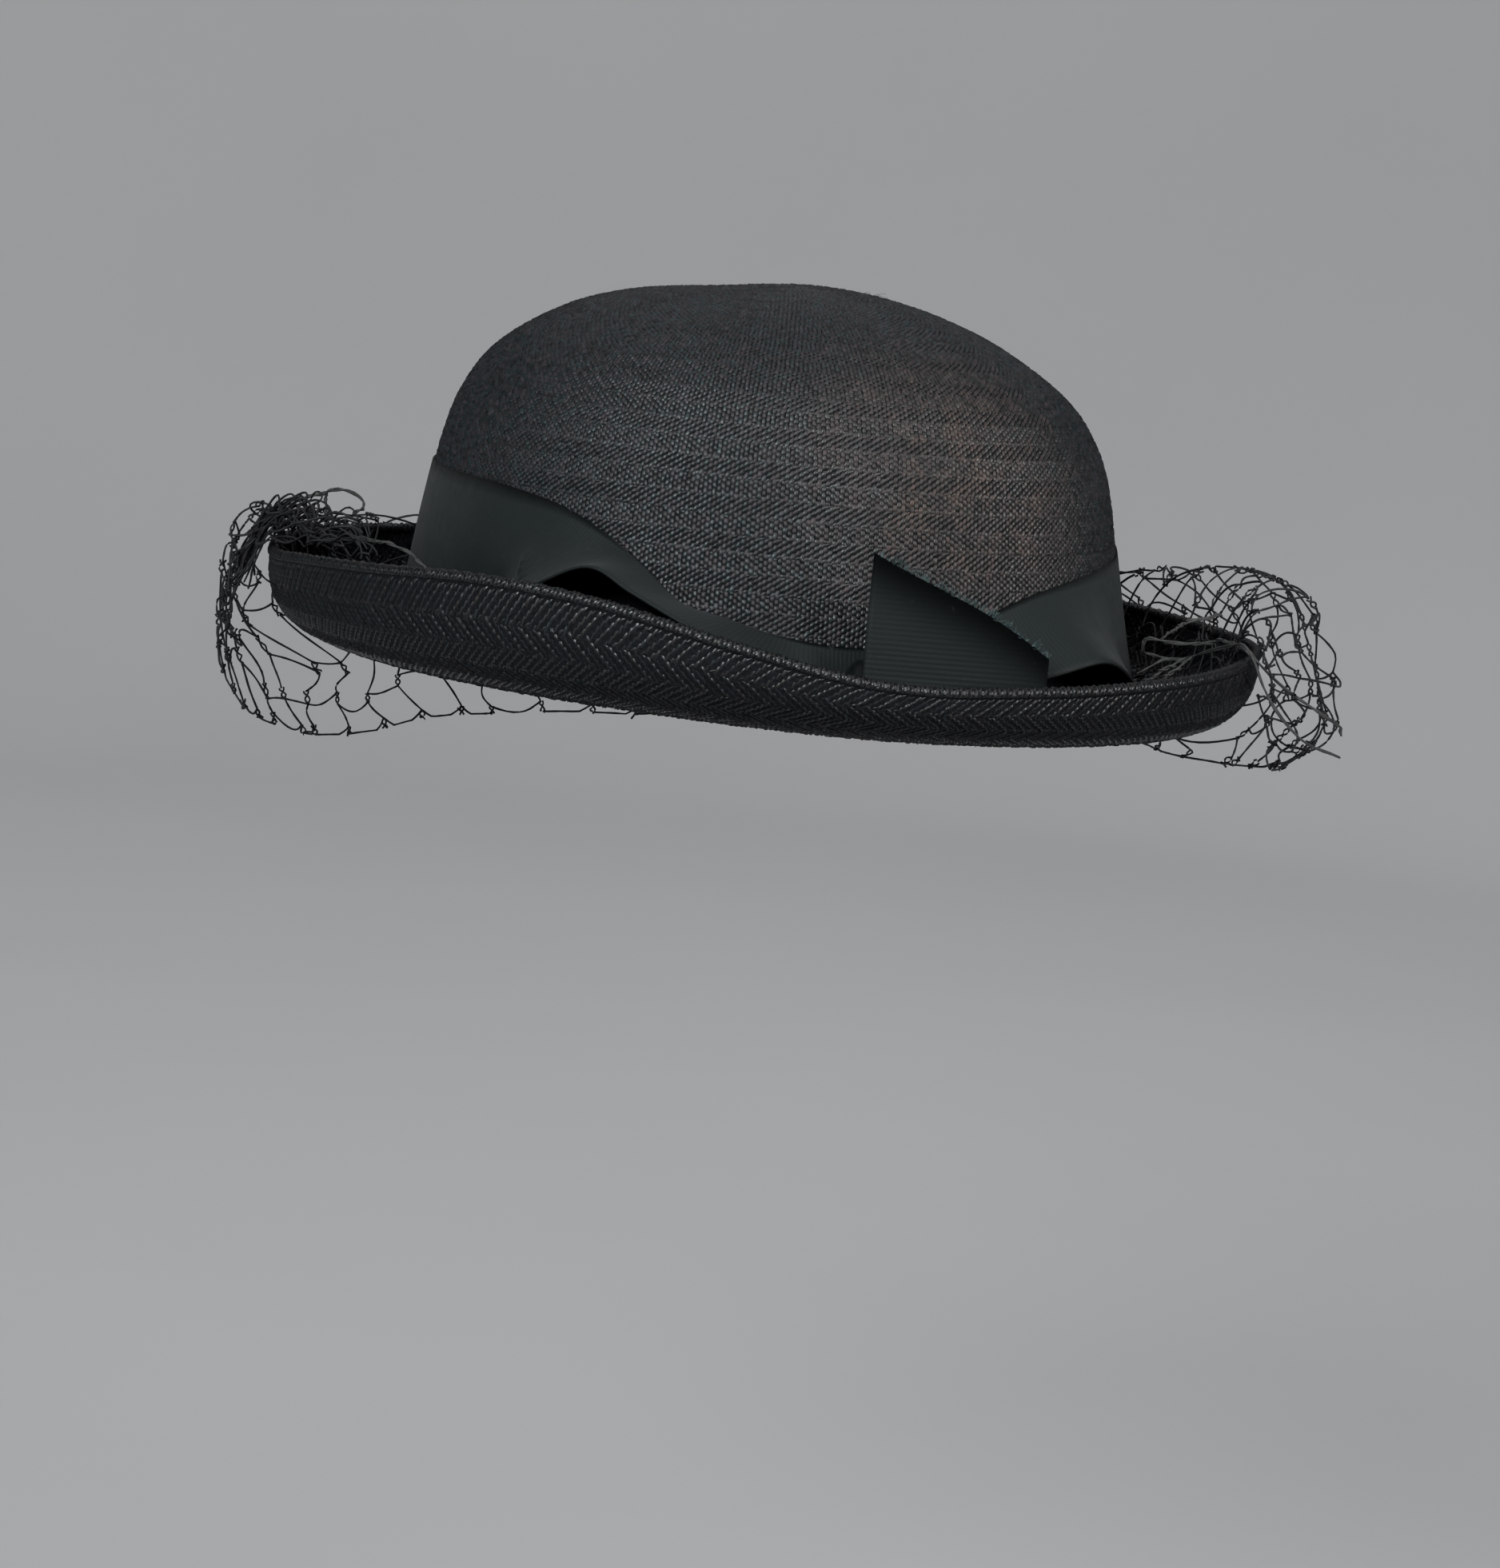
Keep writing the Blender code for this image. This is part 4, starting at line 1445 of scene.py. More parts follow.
@dataclass
class Bow:
    """The bow: its wrapped knot and its upright tail with a frayed cut."""

    form: HatForm
    finish: bpy.types.Material
    fray: bpy.types.Material
    knot_angle: float = 271.5
    knot_width: float = 0.0150
    knot_height: float = 0.0105
    knot_depth: float = 0.0062
    knot_squareness: float = 2.6
    knot_end_pinch: float = 0.85
    knot_waist: float = 0.10
    knot_rib: float = 0.012
    # painted shade over the whole knot, for the dark hollow beside the tail
    knot_shade: float = 0.6
    knot_rings: int = 61
    knot_sides: int = 72
    ribbon_wall: float = 0.0010
    wall: float = 0.00060
    rib_pitch: float = 0.00107
    rib_height: float = 0.00006
    cut_bow: float = 0.0024
    # painted shade below the tail's cut, where the end curls away from the light, and how far down it
    # reaches
    cut_shade: float = 0.92
    shade_reach: float = 0.0078
    tufts: int = 30
    tuft_threads: int = 9
    tuft_length: float = 0.0016
    tuft_radius: float = 0.00009
    tuft_span: tuple = (0.04, 0.99)
    tuft_scatter: float = 0.004
    tuft_share: float = 0.6
    tuft_share_scatter: float = 0.8
    tuft_lean: float = 0.35
    tuft_root: float = 0.99
    tuft_stand: float = 0.0004
    tuft_heading: tuple = (0.25, 0, 0.85)
    tuft_lean_weights: tuple = (1, 0.5, 0.4)
    tuft_outward: float = 0.4
    tuft_splay: float = 0.30
    tuft_thread_scatter: float = 0.0045
    tuft_thread_share: float = 0.7
    tuft_thread_spread: float = 0.5
    tuft_curl: float = 0.00012
    tail_corner: float = 0.0356
    tail_cut_drop: float = 0.0195
    tail_angle: float = 269.3
    tail_yaw: float = 3.0
    tail_bulge: float = 0.0012
    tail_root_width: float = 0.0150
    tail_root_rise: float = 0.0080
    columns: int = 37
    in_rib: int = 4

    def tail_point(self, across: Shape, up: Shape) -> Shape:
        """Return points of the tail's inner face.

        Args:
            across: shares of the way across the ribbon.
            up: shares of its height there.

        Returns:
            The points.
        """
        form = self.form
        across, up = np.broadcast_arrays(np.asarray(across, float), np.asarray(up, float))
        outwards = form.outward(np.array(self.tail_angle))
        sideways = np.array([-outwards[1], outwards[0], 0])
        turn = math.radians(self.tail_yaw)
        run = sideways * math.cos(turn) - outwards * math.sin(turn)
        clear = form.fit_gap * 3 + self.ribbon_wall + self.knot_depth
        corner = form.at_section(np.array(self.tail_angle), clear, 0.0)
        top = (self.tail_corner - self.tail_cut_drop * across
               + self.cut_bow * np.sin(np.pi * across) * across)
        height = form.band_lift + (top - form.band_lift) * up
        open_share = np.minimum((height - form.band_lift) / self.tail_root_rise, 1)
        width = self.tail_root_width + (form.ribbon_width - self.tail_root_width) * open_share
        place = corner + run * (width * across)[..., None]
        bulge = self.tail_bulge * np.sin(np.pi * across) + width * math.sin(turn) * across
        place = place + outwards * bulge[..., None]
        place[..., 2] = form.headline_height + height
        return place

    def build_tail(self) -> bpy.types.Object:
        """Build the tail with ribs across it and painted shade below its cut.

        Returns:
            The tail.
        """
        tall = self.tail_corner - self.form.band_lift
        rows = int(round(tall / self.rib_pitch)) * self.in_rib + 1
        across = np.linspace(0, 1, self.columns)[None, :]
        up = np.linspace(0, 1, rows)[:, None]
        face = self.tail_point(across, up)
        drop = face[-1:, :, 2] - face[:, :, 2]
        level = (face[:, :, 2] - self.form.headline_height) / self.rib_pitch
        rib = self.rib_height * (0.5 + 0.5 * np.cos(2 * np.pi * level))
        points, faces, tints = ribbon_sheet(face[::-1], self.wall, rib[::-1], False)
        # painted shade, strongest at the cut and fading downwards
        painted_shade = self.cut_shade * np.exp(-(drop[::-1] / self.shade_reach) ** 2)
        tail = make_object("tail_ribbon", points, faces, self.finish, tints,
                           np.stack([painted_shade, painted_shade]))
        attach(tail, "root")
        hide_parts("bow_tail")
        return tail

    def build_knot(self) -> bpy.types.Object:
        """Build the knot, a ribbon wrapped round the bow's middle.

        Returns:
            The knot.
        """
        form = self.form
        outwards = form.outward(np.array(self.knot_angle))
        sideways = np.array([-outwards[1], outwards[0], 0])
        back = form.fit_gap * 2 + self.ribbon_wall
        centre = form.at_section(np.array(self.knot_angle), back + self.knot_depth / 2,
                                 form.headline_height + form.band_lift + self.knot_height / 2)
        rings, sides = self.knot_rings, self.knot_sides
        side = np.linspace(-1, 1, rings)[:, None]
        turn = (2 * np.pi * np.arange(sides) / sides)[None, :]
        pinch = 1 - self.knot_end_pinch * np.abs(side) ** 6
        pinch = pinch * (1 - self.knot_waist * np.cos(2 * np.pi * side))
        ribs = 1 + self.knot_rib * np.cos(2 * np.pi * side * self.knot_width / 2 / self.rib_pitch)
        power = 2 / self.knot_squareness
        deep = np.copysign(np.abs(np.cos(turn)) ** power, np.cos(turn)) * pinch * ribs
        high = np.copysign(np.abs(np.sin(turn)) ** power, np.sin(turn)) * pinch * ribs
        points = (centre + sideways * (side * self.knot_width / 2 + 0 * turn)[..., None]
                  + outwards * (deep * self.knot_depth / 2)[..., None]
                  + np.array([0, 0, 1]) * (high * self.knot_height / 2)[..., None])
        first = np.arange(sides)
        faces = [grid_faces(rings, sides, False, True, flip=True),
                 first[None, :], ((rings - 1) * sides + first[::-1])[None, :]]
        # tint paints rib crests lighter and valleys darker: painted highlight and shade
        tint = np.broadcast_to(0.5 + 0.5 * (ribs - 1) / self.knot_rib, (rings, sides))
        # the knot's ply share is painted shade
        knot = make_object("knot_ribbon", points, faces, self.finish, tint,
                           np.full((rings, sides), self.knot_shade))
        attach(knot, "root")
        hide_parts("bow_knot")
        return knot

    def build_fray(self) -> bpy.types.Object:
        """Build the pale frayed ends of the tail's cut, in small tufts.

        Returns:
            The piece.
        """
        chance = np.random.default_rng(SEED + 30)
        roots = np.linspace(*self.tuft_span, self.tufts)
        roots = roots + chance.normal(0, self.tuft_scatter, self.tufts)
        lines = []
        t = np.linspace(0, 1, 5)[:, None]
        outwards = self.form.outward(np.array(self.tail_angle))
        for root in roots:
            size = self.tuft_length * (self.tuft_share + self.tuft_share_scatter * chance.random())
            lean = chance.normal(0, self.tuft_lean, 3)
            for _ in range(self.tuft_threads):
                across = np.clip(root + chance.normal(0, self.tuft_thread_scatter), 0, 1)
                start = self.tail_point(np.array([across]), np.array([self.tuft_root]))[0]
                start = start + outwards * self.tuft_stand
                heading = np.array(self.tuft_heading) + lean * np.array(self.tuft_lean_weights)
                heading = heading + outwards * self.tuft_outward
                heading = unit(heading + chance.normal(0, self.tuft_splay, 3))
                share = self.tuft_thread_share + self.tuft_thread_spread * chance.random()
                line = start + heading * size * share * t
                lines.append(line + chance.normal(0, self.tuft_curl, 3) * t * t)
        return fibres("tail_fray_threads", lines, self.tuft_radius, self.fray)

    def build(self) -> list[bpy.types.Object]:
        """Build the bow's pieces."""
        return [self.build_knot(), self.build_tail(), self.build_fray()]


class Spread(NamedTuple):
    """The least and the most that a size may come to by chance."""

    low: float
    high: float


class Ripple(NamedTuple):
    """A crease of the net: its size, and its turn in radians a cell along and down the net."""

    size: float
    along: float
    down: float


class Wave(NamedTuple):
    """A wave of the bunched strands: how many of it in a strand, and its size."""

    count: float
    size: float


BROAD_CREASE = Ripple(size=0.0020, along=0.80, down=1.1)
FINE_CREASE = Ripple(size=0.0016, along=1.9, down=0.9)
DRAWN_CREASE = Ripple(size=0.0018, along=2.3, down=0.9)
BROAD_RISE = Ripple(size=0.0010, along=0.85, down=0.9)
DRAWN_RISE = Ripple(size=0.0024, along=1.7, down=1.3)
BUNCH_WAVES = (
    Wave(count=1.6, size=0.0020),
    Wave(count=3.5, size=0.0016),
    Wave(count=6.5, size=0.0009),
)


class LoosePoint(NamedTuple):
    """A point of a loose strand: its angle, how far out from the headline and how high it lies."""

    angle: float
    out: float
    height: float


# points of the loose strands, which are drawn pale grey with painted light
LOOSE_STRAND_POINTS = tuple(tuple(LoosePoint(*place) for place in strand) for strand in (
    ((162, 0.0262, 0.0285), (164, 0.0205, 0.0312), (165, 0.0147, 0.0326), (165, 0.0100, 0.0300),
     (166, 0.0122, 0.0272)),
    ((164, 0.0190, 0.0316), (167, 0.0183, 0.0270), (170, 0.0178, 0.0235)),
    ((-22, 0.0085, 0.0150), (-25, 0.0042, 0.0163), (-26, 0.0050, 0.0194), (-27, 0.0120, 0.0192),
     (-28, 0.0185, 0.0205), (-30, 0.0225, 0.0216)),
    ((-26, 0.0081, 0.0198), (-26, 0.0112, 0.0226), (-25, 0.0152, 0.0247), (-22, 0.0205, 0.0258)),
    ((-28, 0.0040, 0.0120), (-27, 0.0095, 0.0155), (-28, 0.0142, 0.0165), (-33, 0.0235, 0.0205),
     (-36, 0.0300, 0.0216), (-35, 0.0350, 0.0120), (-31, 0.0425, 0.0020), (-26, 0.0500, -0.0020)),
    ((-30, 0.0225, 0.0216), (-34, 0.0275, 0.0214), (-36, 0.0312, 0.0200), (-31, 0.0390, 0.0118),
     (-26, 0.0480, 0.0058), (-18, 0.0500, 0.0010)),
    ((-29, 0.0142, 0.0166), (-30, 0.0100, 0.0135), (-31, 0.0062, 0.0105)),
    ((-31, 0.0160, 0.0172), (-33, 0.0120, 0.0130), (-34, 0.0090, 0.0100)),
    ((184, 0.0150, 0.0255), (190, 0.0105, 0.0256), (193, 0.0060, 0.0238), (196, 0.0032, 0.0205)),
))


@dataclass
class Veil:
    """The net veil: threads knotted into cells, draped over the brim's edge and drawn together."""

    form: HatForm
    finish: bpy.types.Material
    # material of the loose strands: black net thread painted pale as painted light
    painted_light_strands: bpy.types.Material
    seat: float = 0.0009
    arch: float = 0.0150
    reach: float = 0.0175
    drop: float = 0.0275
    start: float = -31.0
    end: float = 174.0
    thread: float = 0.00026
    columns: int = 38
    rows: int = 8
    row_power: float = 0.88
    knot: float = 0.15
    sides: int = 5
    gather_angle: float = 169.0
    gather_from: float = 116.0
    gather_pull: float = 0.90
    corner_cut: float = 0.22
    cap_angle: float = -35.0
    cap_pull: float = 0.80
    cap_columns: float = 3.0
    cap_out: float = 0.0022
    cap_down: float = 0.0035
    cap_row: float = 1.8
    cap_fade: float = 1.4
    root_share: float = 0.4
    rise_share: float = 0.7
    rise_belly: float = 0.12
    rise_arch: float = 0.25
    upper_share: float = 0.86
    upper_fade: float = 0.30
    calm: float = 0.65
    calm_from: float = 0.76
    calm_fade: float = 0.10
    free_row: float = 1.6
    stagger: float = 0.22
    scatter_along: float = 0.15
    scatter_down: float = 0.14
    row_wave: float = 0.22
    row_wave_turn: float = 0.9
    hem_gap: float = 0.12
    hem_scatter: float = 0.10
    knot_least: float = 0.7
    knot_scatter: float = 0.6
    sag: float = 0.03
    sag_scatter: float = 0.17
    hem_sag: float = 0.20
    hem_sag_scatter: float = 0.16
    level_bow: float = 0.04
    fall_bow_along: float = 0.11
    fall_bow_down: float = 0.03
    knot_steps: int = 7
    knot_twist: float = 2.6
    knot_width: float = 0.00036
    knot_width_scatter: float = 0.00030
    knot_thread: float = 0.95
    whisker: float = 0.0016
    whisker_chance: float = 0.10
    hem_whisker_chance: float = 0.45
    whisker_sink: float = 0.6
    whisker_bend: float = 0.0004
    bunch_crossing: float = 0.22
    bunch_start: Spread = Spread(165, 171)
    bunch_edge_turn: Spread = Spread(-2, 3)
    bunch_end_turn: Spread = Spread(10, 24)
    bunch_start_out: Spread = Spread(0.0345, 0.0395)
    bunch_edge_out: Spread = Spread(0.0020, 0.0045)
    bunch_end_out: Spread = Spread(0.0095, 0.0180)
    bunch_start_high: Spread = Spread(0.0080, 0.0160)
    bunch_edge_high: Spread = Spread(0.0008, 0.0030)
    bunch_crest: Spread = Spread(0.0010, 0.0085)
    bunch_crest_power: float = 0.75
    bunch_end_high: Spread = Spread(-0.002, 0.003)
    wave_rate: Spread = Spread(0.7, 1.4)
    wave_size: Spread = Spread(0.3, 1.1)
    wave_floor: float = 0.35
    bunch_edge_room: float = 0.0016
    bunch_edge_lift: float = 0.0022
    bunch_edge_slope: float = 0.35
    ply_offsets: tuple = (0.0, 2.1, 4.2)
    ply_swing: float = 0.00022
    ply_twist: float = 19
    loose_strand_thread: float = 0.92
    thread_least: float = 0.85
    thread_scatter: float = 0.35
    round_steps: int = 120
    course_steps: int = 60
    round_row: int = 36
    flat: tuple = (0.066, 0.430)
    thread_area: float = 0.0165
    arches: Curve = field(default_factory=lambda: Curve.through(VEIL_ROWS, "angle", "arch"))
    reaches: Curve = field(default_factory=lambda: Curve.through(VEIL_ROWS, "angle", "reach"))
    hems: Curve = field(default_factory=lambda: Curve.through(VEIL_ROWS, "angle", "hem"))

    def __post_init__(self) -> None:
        """Measure the veil's course, so that cells lie evenly down it."""
        angles = np.linspace(self.start, self.end, self.round_steps)
        downs = np.linspace(0, 1, self.course_steps)
        line = self.point(angles[:, None], downs[None, :])
        run = np.cumsum(np.linalg.norm(np.diff(line, axis=1), axis=2), axis=1)
        run = np.concatenate([np.zeros((len(angles), 1)), run], axis=1) / run[:, -1:]
        self.downs = np.stack([np.interp(downs, row, downs) for row in run])
        around = np.linalg.norm(np.diff(line[:, self.round_row], axis=0), axis=1)
        self.round_shares = np.concatenate([[0], np.cumsum(around)]) / around.sum()
        self.round_angles = angles
        self.phase = np.random.default_rng(SEED + 21).random(8) * PHASE_RANGE

    def line(self, angle: Shape) -> tuple[Shape, Shape]:
        """Return the veil's course through the section at some angles.

        Args:
            angle: the angles.

        Returns:
            How far out and how high its points lie.
        """
        reach, height = self.form.brim_edge(angle)
        arch = self.arch * self.arches.at(angle)
        belly = self.reach * self.reaches.at(angle)
        hem = self.drop * self.hems.at(angle)
        offset = self.form.straw_wall + self.seat
        root = np.full_like(angle, self.root_share)
        root_out, root_high = self.form.brim_under(angle, root, offset)
        rise = np.full_like(angle, self.rise_share)
        rise_out, rise_high = self.form.brim_under(angle, rise, offset)
        outs = [root_out, rise_out - belly * self.rise_belly]
        highs = [root_high, rise_high + arch * self.rise_arch]
        for step in VEIL_COURSE:
            outs.append(reach + belly * step.reach)
            highs.append(height * step.edge + arch * step.arch - hem * step.hem)
        return np.stack(outs, axis=-1), np.stack(highs, axis=-1)

    def point(self, angle: Shape, down: Shape) -> Shape:
        """Return points of the veil.

        Args:
            angle: the angles.
            down: shares of the way from the trough to the hem.

        Returns:
            The points.
        """
        angle, down = np.broadcast_arrays(np.asarray(angle, float), np.asarray(down, float))
        outs, highs = self.line(angle)
        last = outs.shape[-1] - 1
        spot = np.clip(down, 0, 1) * last
        i = np.minimum(spot.astype(int), last - 1)
        t = spot - i

        def blend(values: Shape) -> Shape:
            """Read a smooth curve through the course's points.

            Args:
                values: the points' distances out, or their heights.

            Returns:
                The values at the places asked for.
            """
            def pick(k: Shape) -> Shape:
                """Return the course's values at some of its points."""
                return np.take_along_axis(values, k[..., None], axis=-1)[..., 0]
            near, far = pick(i), pick(i + 1)
            start = (far - pick(np.maximum(i - 1, 0))) / 2
            end = (pick(np.minimum(i + 2, last)) - near) / 2
            steady = (1 + 2 * t) * (1 - t) ** 2 * near + t * t * (3 - 2 * t) * far
            return steady + t * (1 - t) ** 2 * start + t * t * (t - 1) * end

        return self.form.at_section(angle, blend(outs), blend(highs))

    def drape(self, column: Shape, row: Shape) -> Shape:
        """Return where places of the net lie once it is draped and drawn together.

        Args:
            column: places along the net, in cells.
            row: places down the net, in cells.

        Returns:
            The points.
        """
        angle = np.interp(column / self.columns, self.round_shares, self.round_angles)
        drawn = np.clip((angle - self.gather_from) / (self.end - self.gather_from), 0, 1)
        share = np.clip(row / self.rows, 0, 1) ** self.row_power
        share = share * (1 - self.corner_cut * drawn ** 3)
        high = np.clip((self.upper_share - share) / self.upper_fade, 0, 1)
        pull = self.gather_pull * drawn * (2 - drawn) * high * high * (3 - 2 * high)
        there = angle + (self.gather_angle - angle) * pull
        spot = (there - self.start) / (self.end - self.start) * (len(self.round_angles) - 1)
        i = np.clip(spot.astype(int), 0, len(self.round_angles) - 2)
        t = spot - i
        place = share * (self.course_steps - 1)
        j = np.clip(place.astype(int), 0, self.course_steps - 2)
        s = place - j
        near = self.downs[i, j] * (1 - s) + self.downs[i, j + 1] * s
        far = self.downs[i + 1, j] * (1 - s) + self.downs[i + 1, j + 1] * s
        down = near * (1 - t) + far * t
        points = self.point(there, down) + self.crumple(column, row, there, pull)
        closed = np.clip(1 - column / self.cap_columns, 0, 1)
        closed = closed * np.clip((row - self.cap_row) / self.cap_fade, 0, 1)
        reach, height = self.form.brim_edge(np.array(self.cap_angle))
        centre = self.form.at_section(np.array(self.cap_angle), reach + self.cap_out,
                                      height - self.cap_down)
        return points + (centre - points) * (self.cap_pull * closed)[..., None]

    def crumple(self, column: Shape, row: Shape, angle: Shape, pull: Shape) -> Shape:
        """Return how far the net's creases move it at places on it.

        Args:
            column: places along the net, in cells.
            row: places down the net, in cells.
            angle: the angles that the places have come to.
            pull: how much the net is drawn together there.

        Returns:
            How far each place moves.
        """
        p = self.phase
        near_end = np.clip((column / self.columns - self.calm_from) / self.calm_fade, 0, 1)
        calm = 1 - self.calm * near_end
        wave = BROAD_CREASE
        lift = wave.size * np.sin(column * wave.along + p[0]) * np.sin(row * wave.down + p[1])
        wave = FINE_CREASE
        lift = (lift + wave.size * np.sin(column * wave.along + p[2] + row * wave.down)) * calm
        wave = DRAWN_CREASE
        lift = lift + wave.size * pull * np.sin(column * wave.along + p[3] + row * wave.down)
        wave = BROAD_RISE
        rise = wave.size * np.sin(column * wave.along + p[4]) * np.cos(row * wave.down + p[5])
        wave = DRAWN_RISE
        rise = rise + wave.size * pull * np.sin(column * wave.along + p[6] + row * wave.down)
        free = np.clip((row - self.free_row) / self.free_row, 0, 1)
        move = self.form.outward(angle) * (lift * free)[..., None]
        move[..., 2] += rise * free
        return move

    def hang_threads(self, chance: np.random.Generator) -> tuple[Shape, Shape]:
        """Lay out the net's threads and the doubled threads of its knots.

        Args:
            chance: where its chance comes from.

        Returns:
            The threads' lines and the knots' lines, each an array of lines of points.
        """
        rows, columns = self.rows, self.columns
        r, c = np.meshgrid(np.arange(rows + 1), np.arange(columns + 1), indexing="ij")
        spot_c = c + self.stagger * np.where(r % 2, 1, -1)
        spot_c = spot_c + chance.normal(0, self.scatter_along, r.shape)
        spot_r = r + chance.normal(0, self.scatter_down, r.shape)
        wave = np.sin(c * self.row_wave_turn + self.phase[7])
        spot_r = spot_r + self.row_wave * wave * (r > 1)
        spot_r[0] = 0
        spot_r[-1] = rows - self.hem_gap + self.hem_scatter * chance.random(columns + 1)
        half = self.knot * (self.knot_least + self.knot_scatter * chance.random(r.shape))
        t = np.linspace(0, 1, 9)
        arcs = np.sin(np.pi * t)

        def span(ca: Shape, ra: Shape, cb: Shape, rb: Shape, bow_c: Shape, bow_r: Shape) -> Shape:
            """Return lines between places on the net.

            Args:
                ca: the first ends' places along the net.
                ra: their places down it.
                cb: the second ends' places along the net.
                rb: their places down it.
                bow_c: how far each line bows along the net.
                bow_r: how far it bows down it.

            Returns:
                The lines.
            """
            column = ca[..., None] * (1 - t) + cb[..., None] * t + bow_c[..., None] * arcs
            row = ra[..., None] * (1 - t) + rb[..., None] * t + bow_r[..., None] * arcs
            return self.drape(column, row).reshape(-1, len(t), 3)

        ends = np.where(chance.random((rows + 1, columns, 2)) < 0.5, -1, 1)
        shape = (rows + 1, columns)
        sag = chance.normal(self.sag, self.sag_scatter, shape)
        sag[-1] = self.hem_sag + self.hem_sag_scatter * chance.random(columns)
        level = span(spot_c[:, :-1], spot_r[:, :-1] + half[:, :-1] * ends[..., 0], spot_c[:, 1:],
                     spot_r[:, 1:] + half[:, 1:] * ends[..., 1],
                     chance.normal(0, self.level_bow, shape), sag)
        shape = (rows, columns + 1)
        fall = span(spot_c[:-1], spot_r[:-1] + half[:-1], spot_c[1:], spot_r[1:] - half[1:],
                    chance.normal(0, self.fall_bow_along, shape),
                    chance.normal(0, self.fall_bow_down, shape))
        across = np.linspace(-1, 1, self.knot_steps)
        middle = self.drape(spot_c[..., None] + 0 * across,
                            spot_r[..., None] + half[..., None] * across)
        middle = middle.reshape(-1, self.knot_steps, 3)
        along = unit(np.gradient(middle, axis=1))
        out = unit(middle * np.array([1, 1, 0]))
        side = unit(np.cross(along, out))
        twist = chance.random(len(middle))[:, None] * PHASE_RANGE
        twist = twist + across[None, :] * self.knot_twist
        wide = (self.knot_width + self.knot_width_scatter * chance.random(len(middle)))[:, None]
        knots = []
        for turn in (0, np.pi):
            knots.append(middle + side * (wide * np.cos(twist + turn))[..., None]
                         + np.cross(side, along) * (wide * np.sin(twist + turn))[..., None])
        whiskers = self.whiskers(spot_c, spot_r, chance, len(t))
        return np.concatenate([level, fall, whiskers]), np.concatenate(knots)

    def whiskers(self, spot_c: Shape, spot_r: Shape, chance: np.random.Generator,
                 count: int) -> Shape:
        """Return short cut ends that stand off some of the knots.

        Args:
            spot_c: the knots' places along the net.
            spot_r: the knots' places down the net.
            chance: where its chance comes from.
            count: how many points each end has.

        Returns:
            The ends' lines.
        """
        picked = chance.random(spot_c.shape) < self.whisker_chance
        picked[-1] = chance.random(spot_c.shape[1]) < self.hem_whisker_chance
        root = self.drape(spot_c[picked], spot_r[picked])
        heading = chance.normal(0, 1, root.shape) + np.array([0, 0, -self.whisker_sink])
        heading = unit(heading) * self.whisker
        bend = chance.normal(0, self.whisker_bend, root.shape)
        t = np.linspace(0, 1, count)[None, :, None]
        return root[:, None] + heading[:, None] * t + bend[:, None] * t * t

    def bunch(self, chance: np.random.Generator, strands: int = 24, count: int = 64) -> Shape:
        """Return the tangled strands where the net's end is drawn together over the brim's edge.

        Args:
            chance: where its chance comes from.
            strands: how many strands.
            count: how many points each has.

        Returns:
            The strands' lines.
        """
        t = np.linspace(0, 1, count)[None, :]

        def draw(spread: Spread) -> Shape:
            """Return a number for each strand."""
            return spread.low + (spread.high - spread.low) * chance.random((strands, 1))

        over = np.clip(t / self.bunch_crossing, 0, 1)
        inside = np.clip((t - self.bunch_crossing) / (1 - self.bunch_crossing), 0, 1)
        angle = draw(self.bunch_start) + draw(self.bunch_edge_turn) * over
        angle = angle + draw(self.bunch_end_turn) * inside
        reach, height = self.form.brim_edge(angle)
        out = draw(self.bunch_start_out) * (1 - over)
        out = out + over * (reach + draw(self.bunch_edge_out))
        out = out * (1 - inside) + inside * draw(self.bunch_end_out)
        high = draw(self.bunch_start_high) * (1 - over)
        high = high + over * (height + draw(self.bunch_edge_high))
        crest = np.sin(np.pi * inside ** self.bunch_crest_power)
        high = high + draw(self.bunch_crest) * crest
        high = high + draw(self.bunch_end_high) * inside
        keep = np.clip(self.wave_floor + inside * 3, 0, 1)
        for wave in BUNCH_WAVES:
            turn = 2 * np.pi * wave.count * draw(self.wave_rate) * t + draw(Spread(0, PHASE_RANGE))
            out = out + wave.size * keep * draw(self.wave_size) * np.sin(turn)
            high = high + wave.size * keep * draw(self.wave_size) * np.cos(turn * 1.1)
        over_edge = height + self.bunch_edge_lift - (reach - out) * self.bunch_edge_slope
        room = np.where(out < reach + self.bunch_edge_room, over_edge, -1.0)
        return self.form.at_section(angle, out, np.maximum(high, room))

    def loose_strands(self) -> Shape:
        """Work out the strands that have come away from the net, which are drawn pale with painted light.

        Returns:
            Their lines, three for each strand, which is twisted of three plies.
        """
        lines = []
        for strand in LOOSE_STRAND_POINTS:
            keys = np.linspace(0, 1, len(strand))
            spots = np.linspace(0, 1, 33)
            table = np.array(strand)
            steps = np.gradient(table, keys, axis=0)
            i = np.clip(np.searchsorted(keys, spots, side="right") - 1, 0, len(keys) - 2)
            width = keys[1]
            t = ((spots - keys[i]) / width)[:, None]
            curve = ((1 + 2 * t) * (1 - t) ** 2 * table[i] + t * t * (3 - 2 * t) * table[i + 1]
                     + t * (1 - t) ** 2 * width * steps[i] + t * t * (t - 1) * width * steps[i + 1])
            line = self.form.at_section(*curve.T)
            for offset in self.ply_offsets:
                turn = np.linspace(0, self.ply_twist + 3 * offset, len(line)) + offset
                ply = np.stack([np.cos(turn), np.sin(turn * 0.8), np.cos(turn * 0.7 + 1)], axis=1)
                swing = self.ply_swing + self.ply_swing * np.sin(turn * 0.31 + offset)[:, None]
                lines.append(line + ply * swing)
        return np.stack(lines)

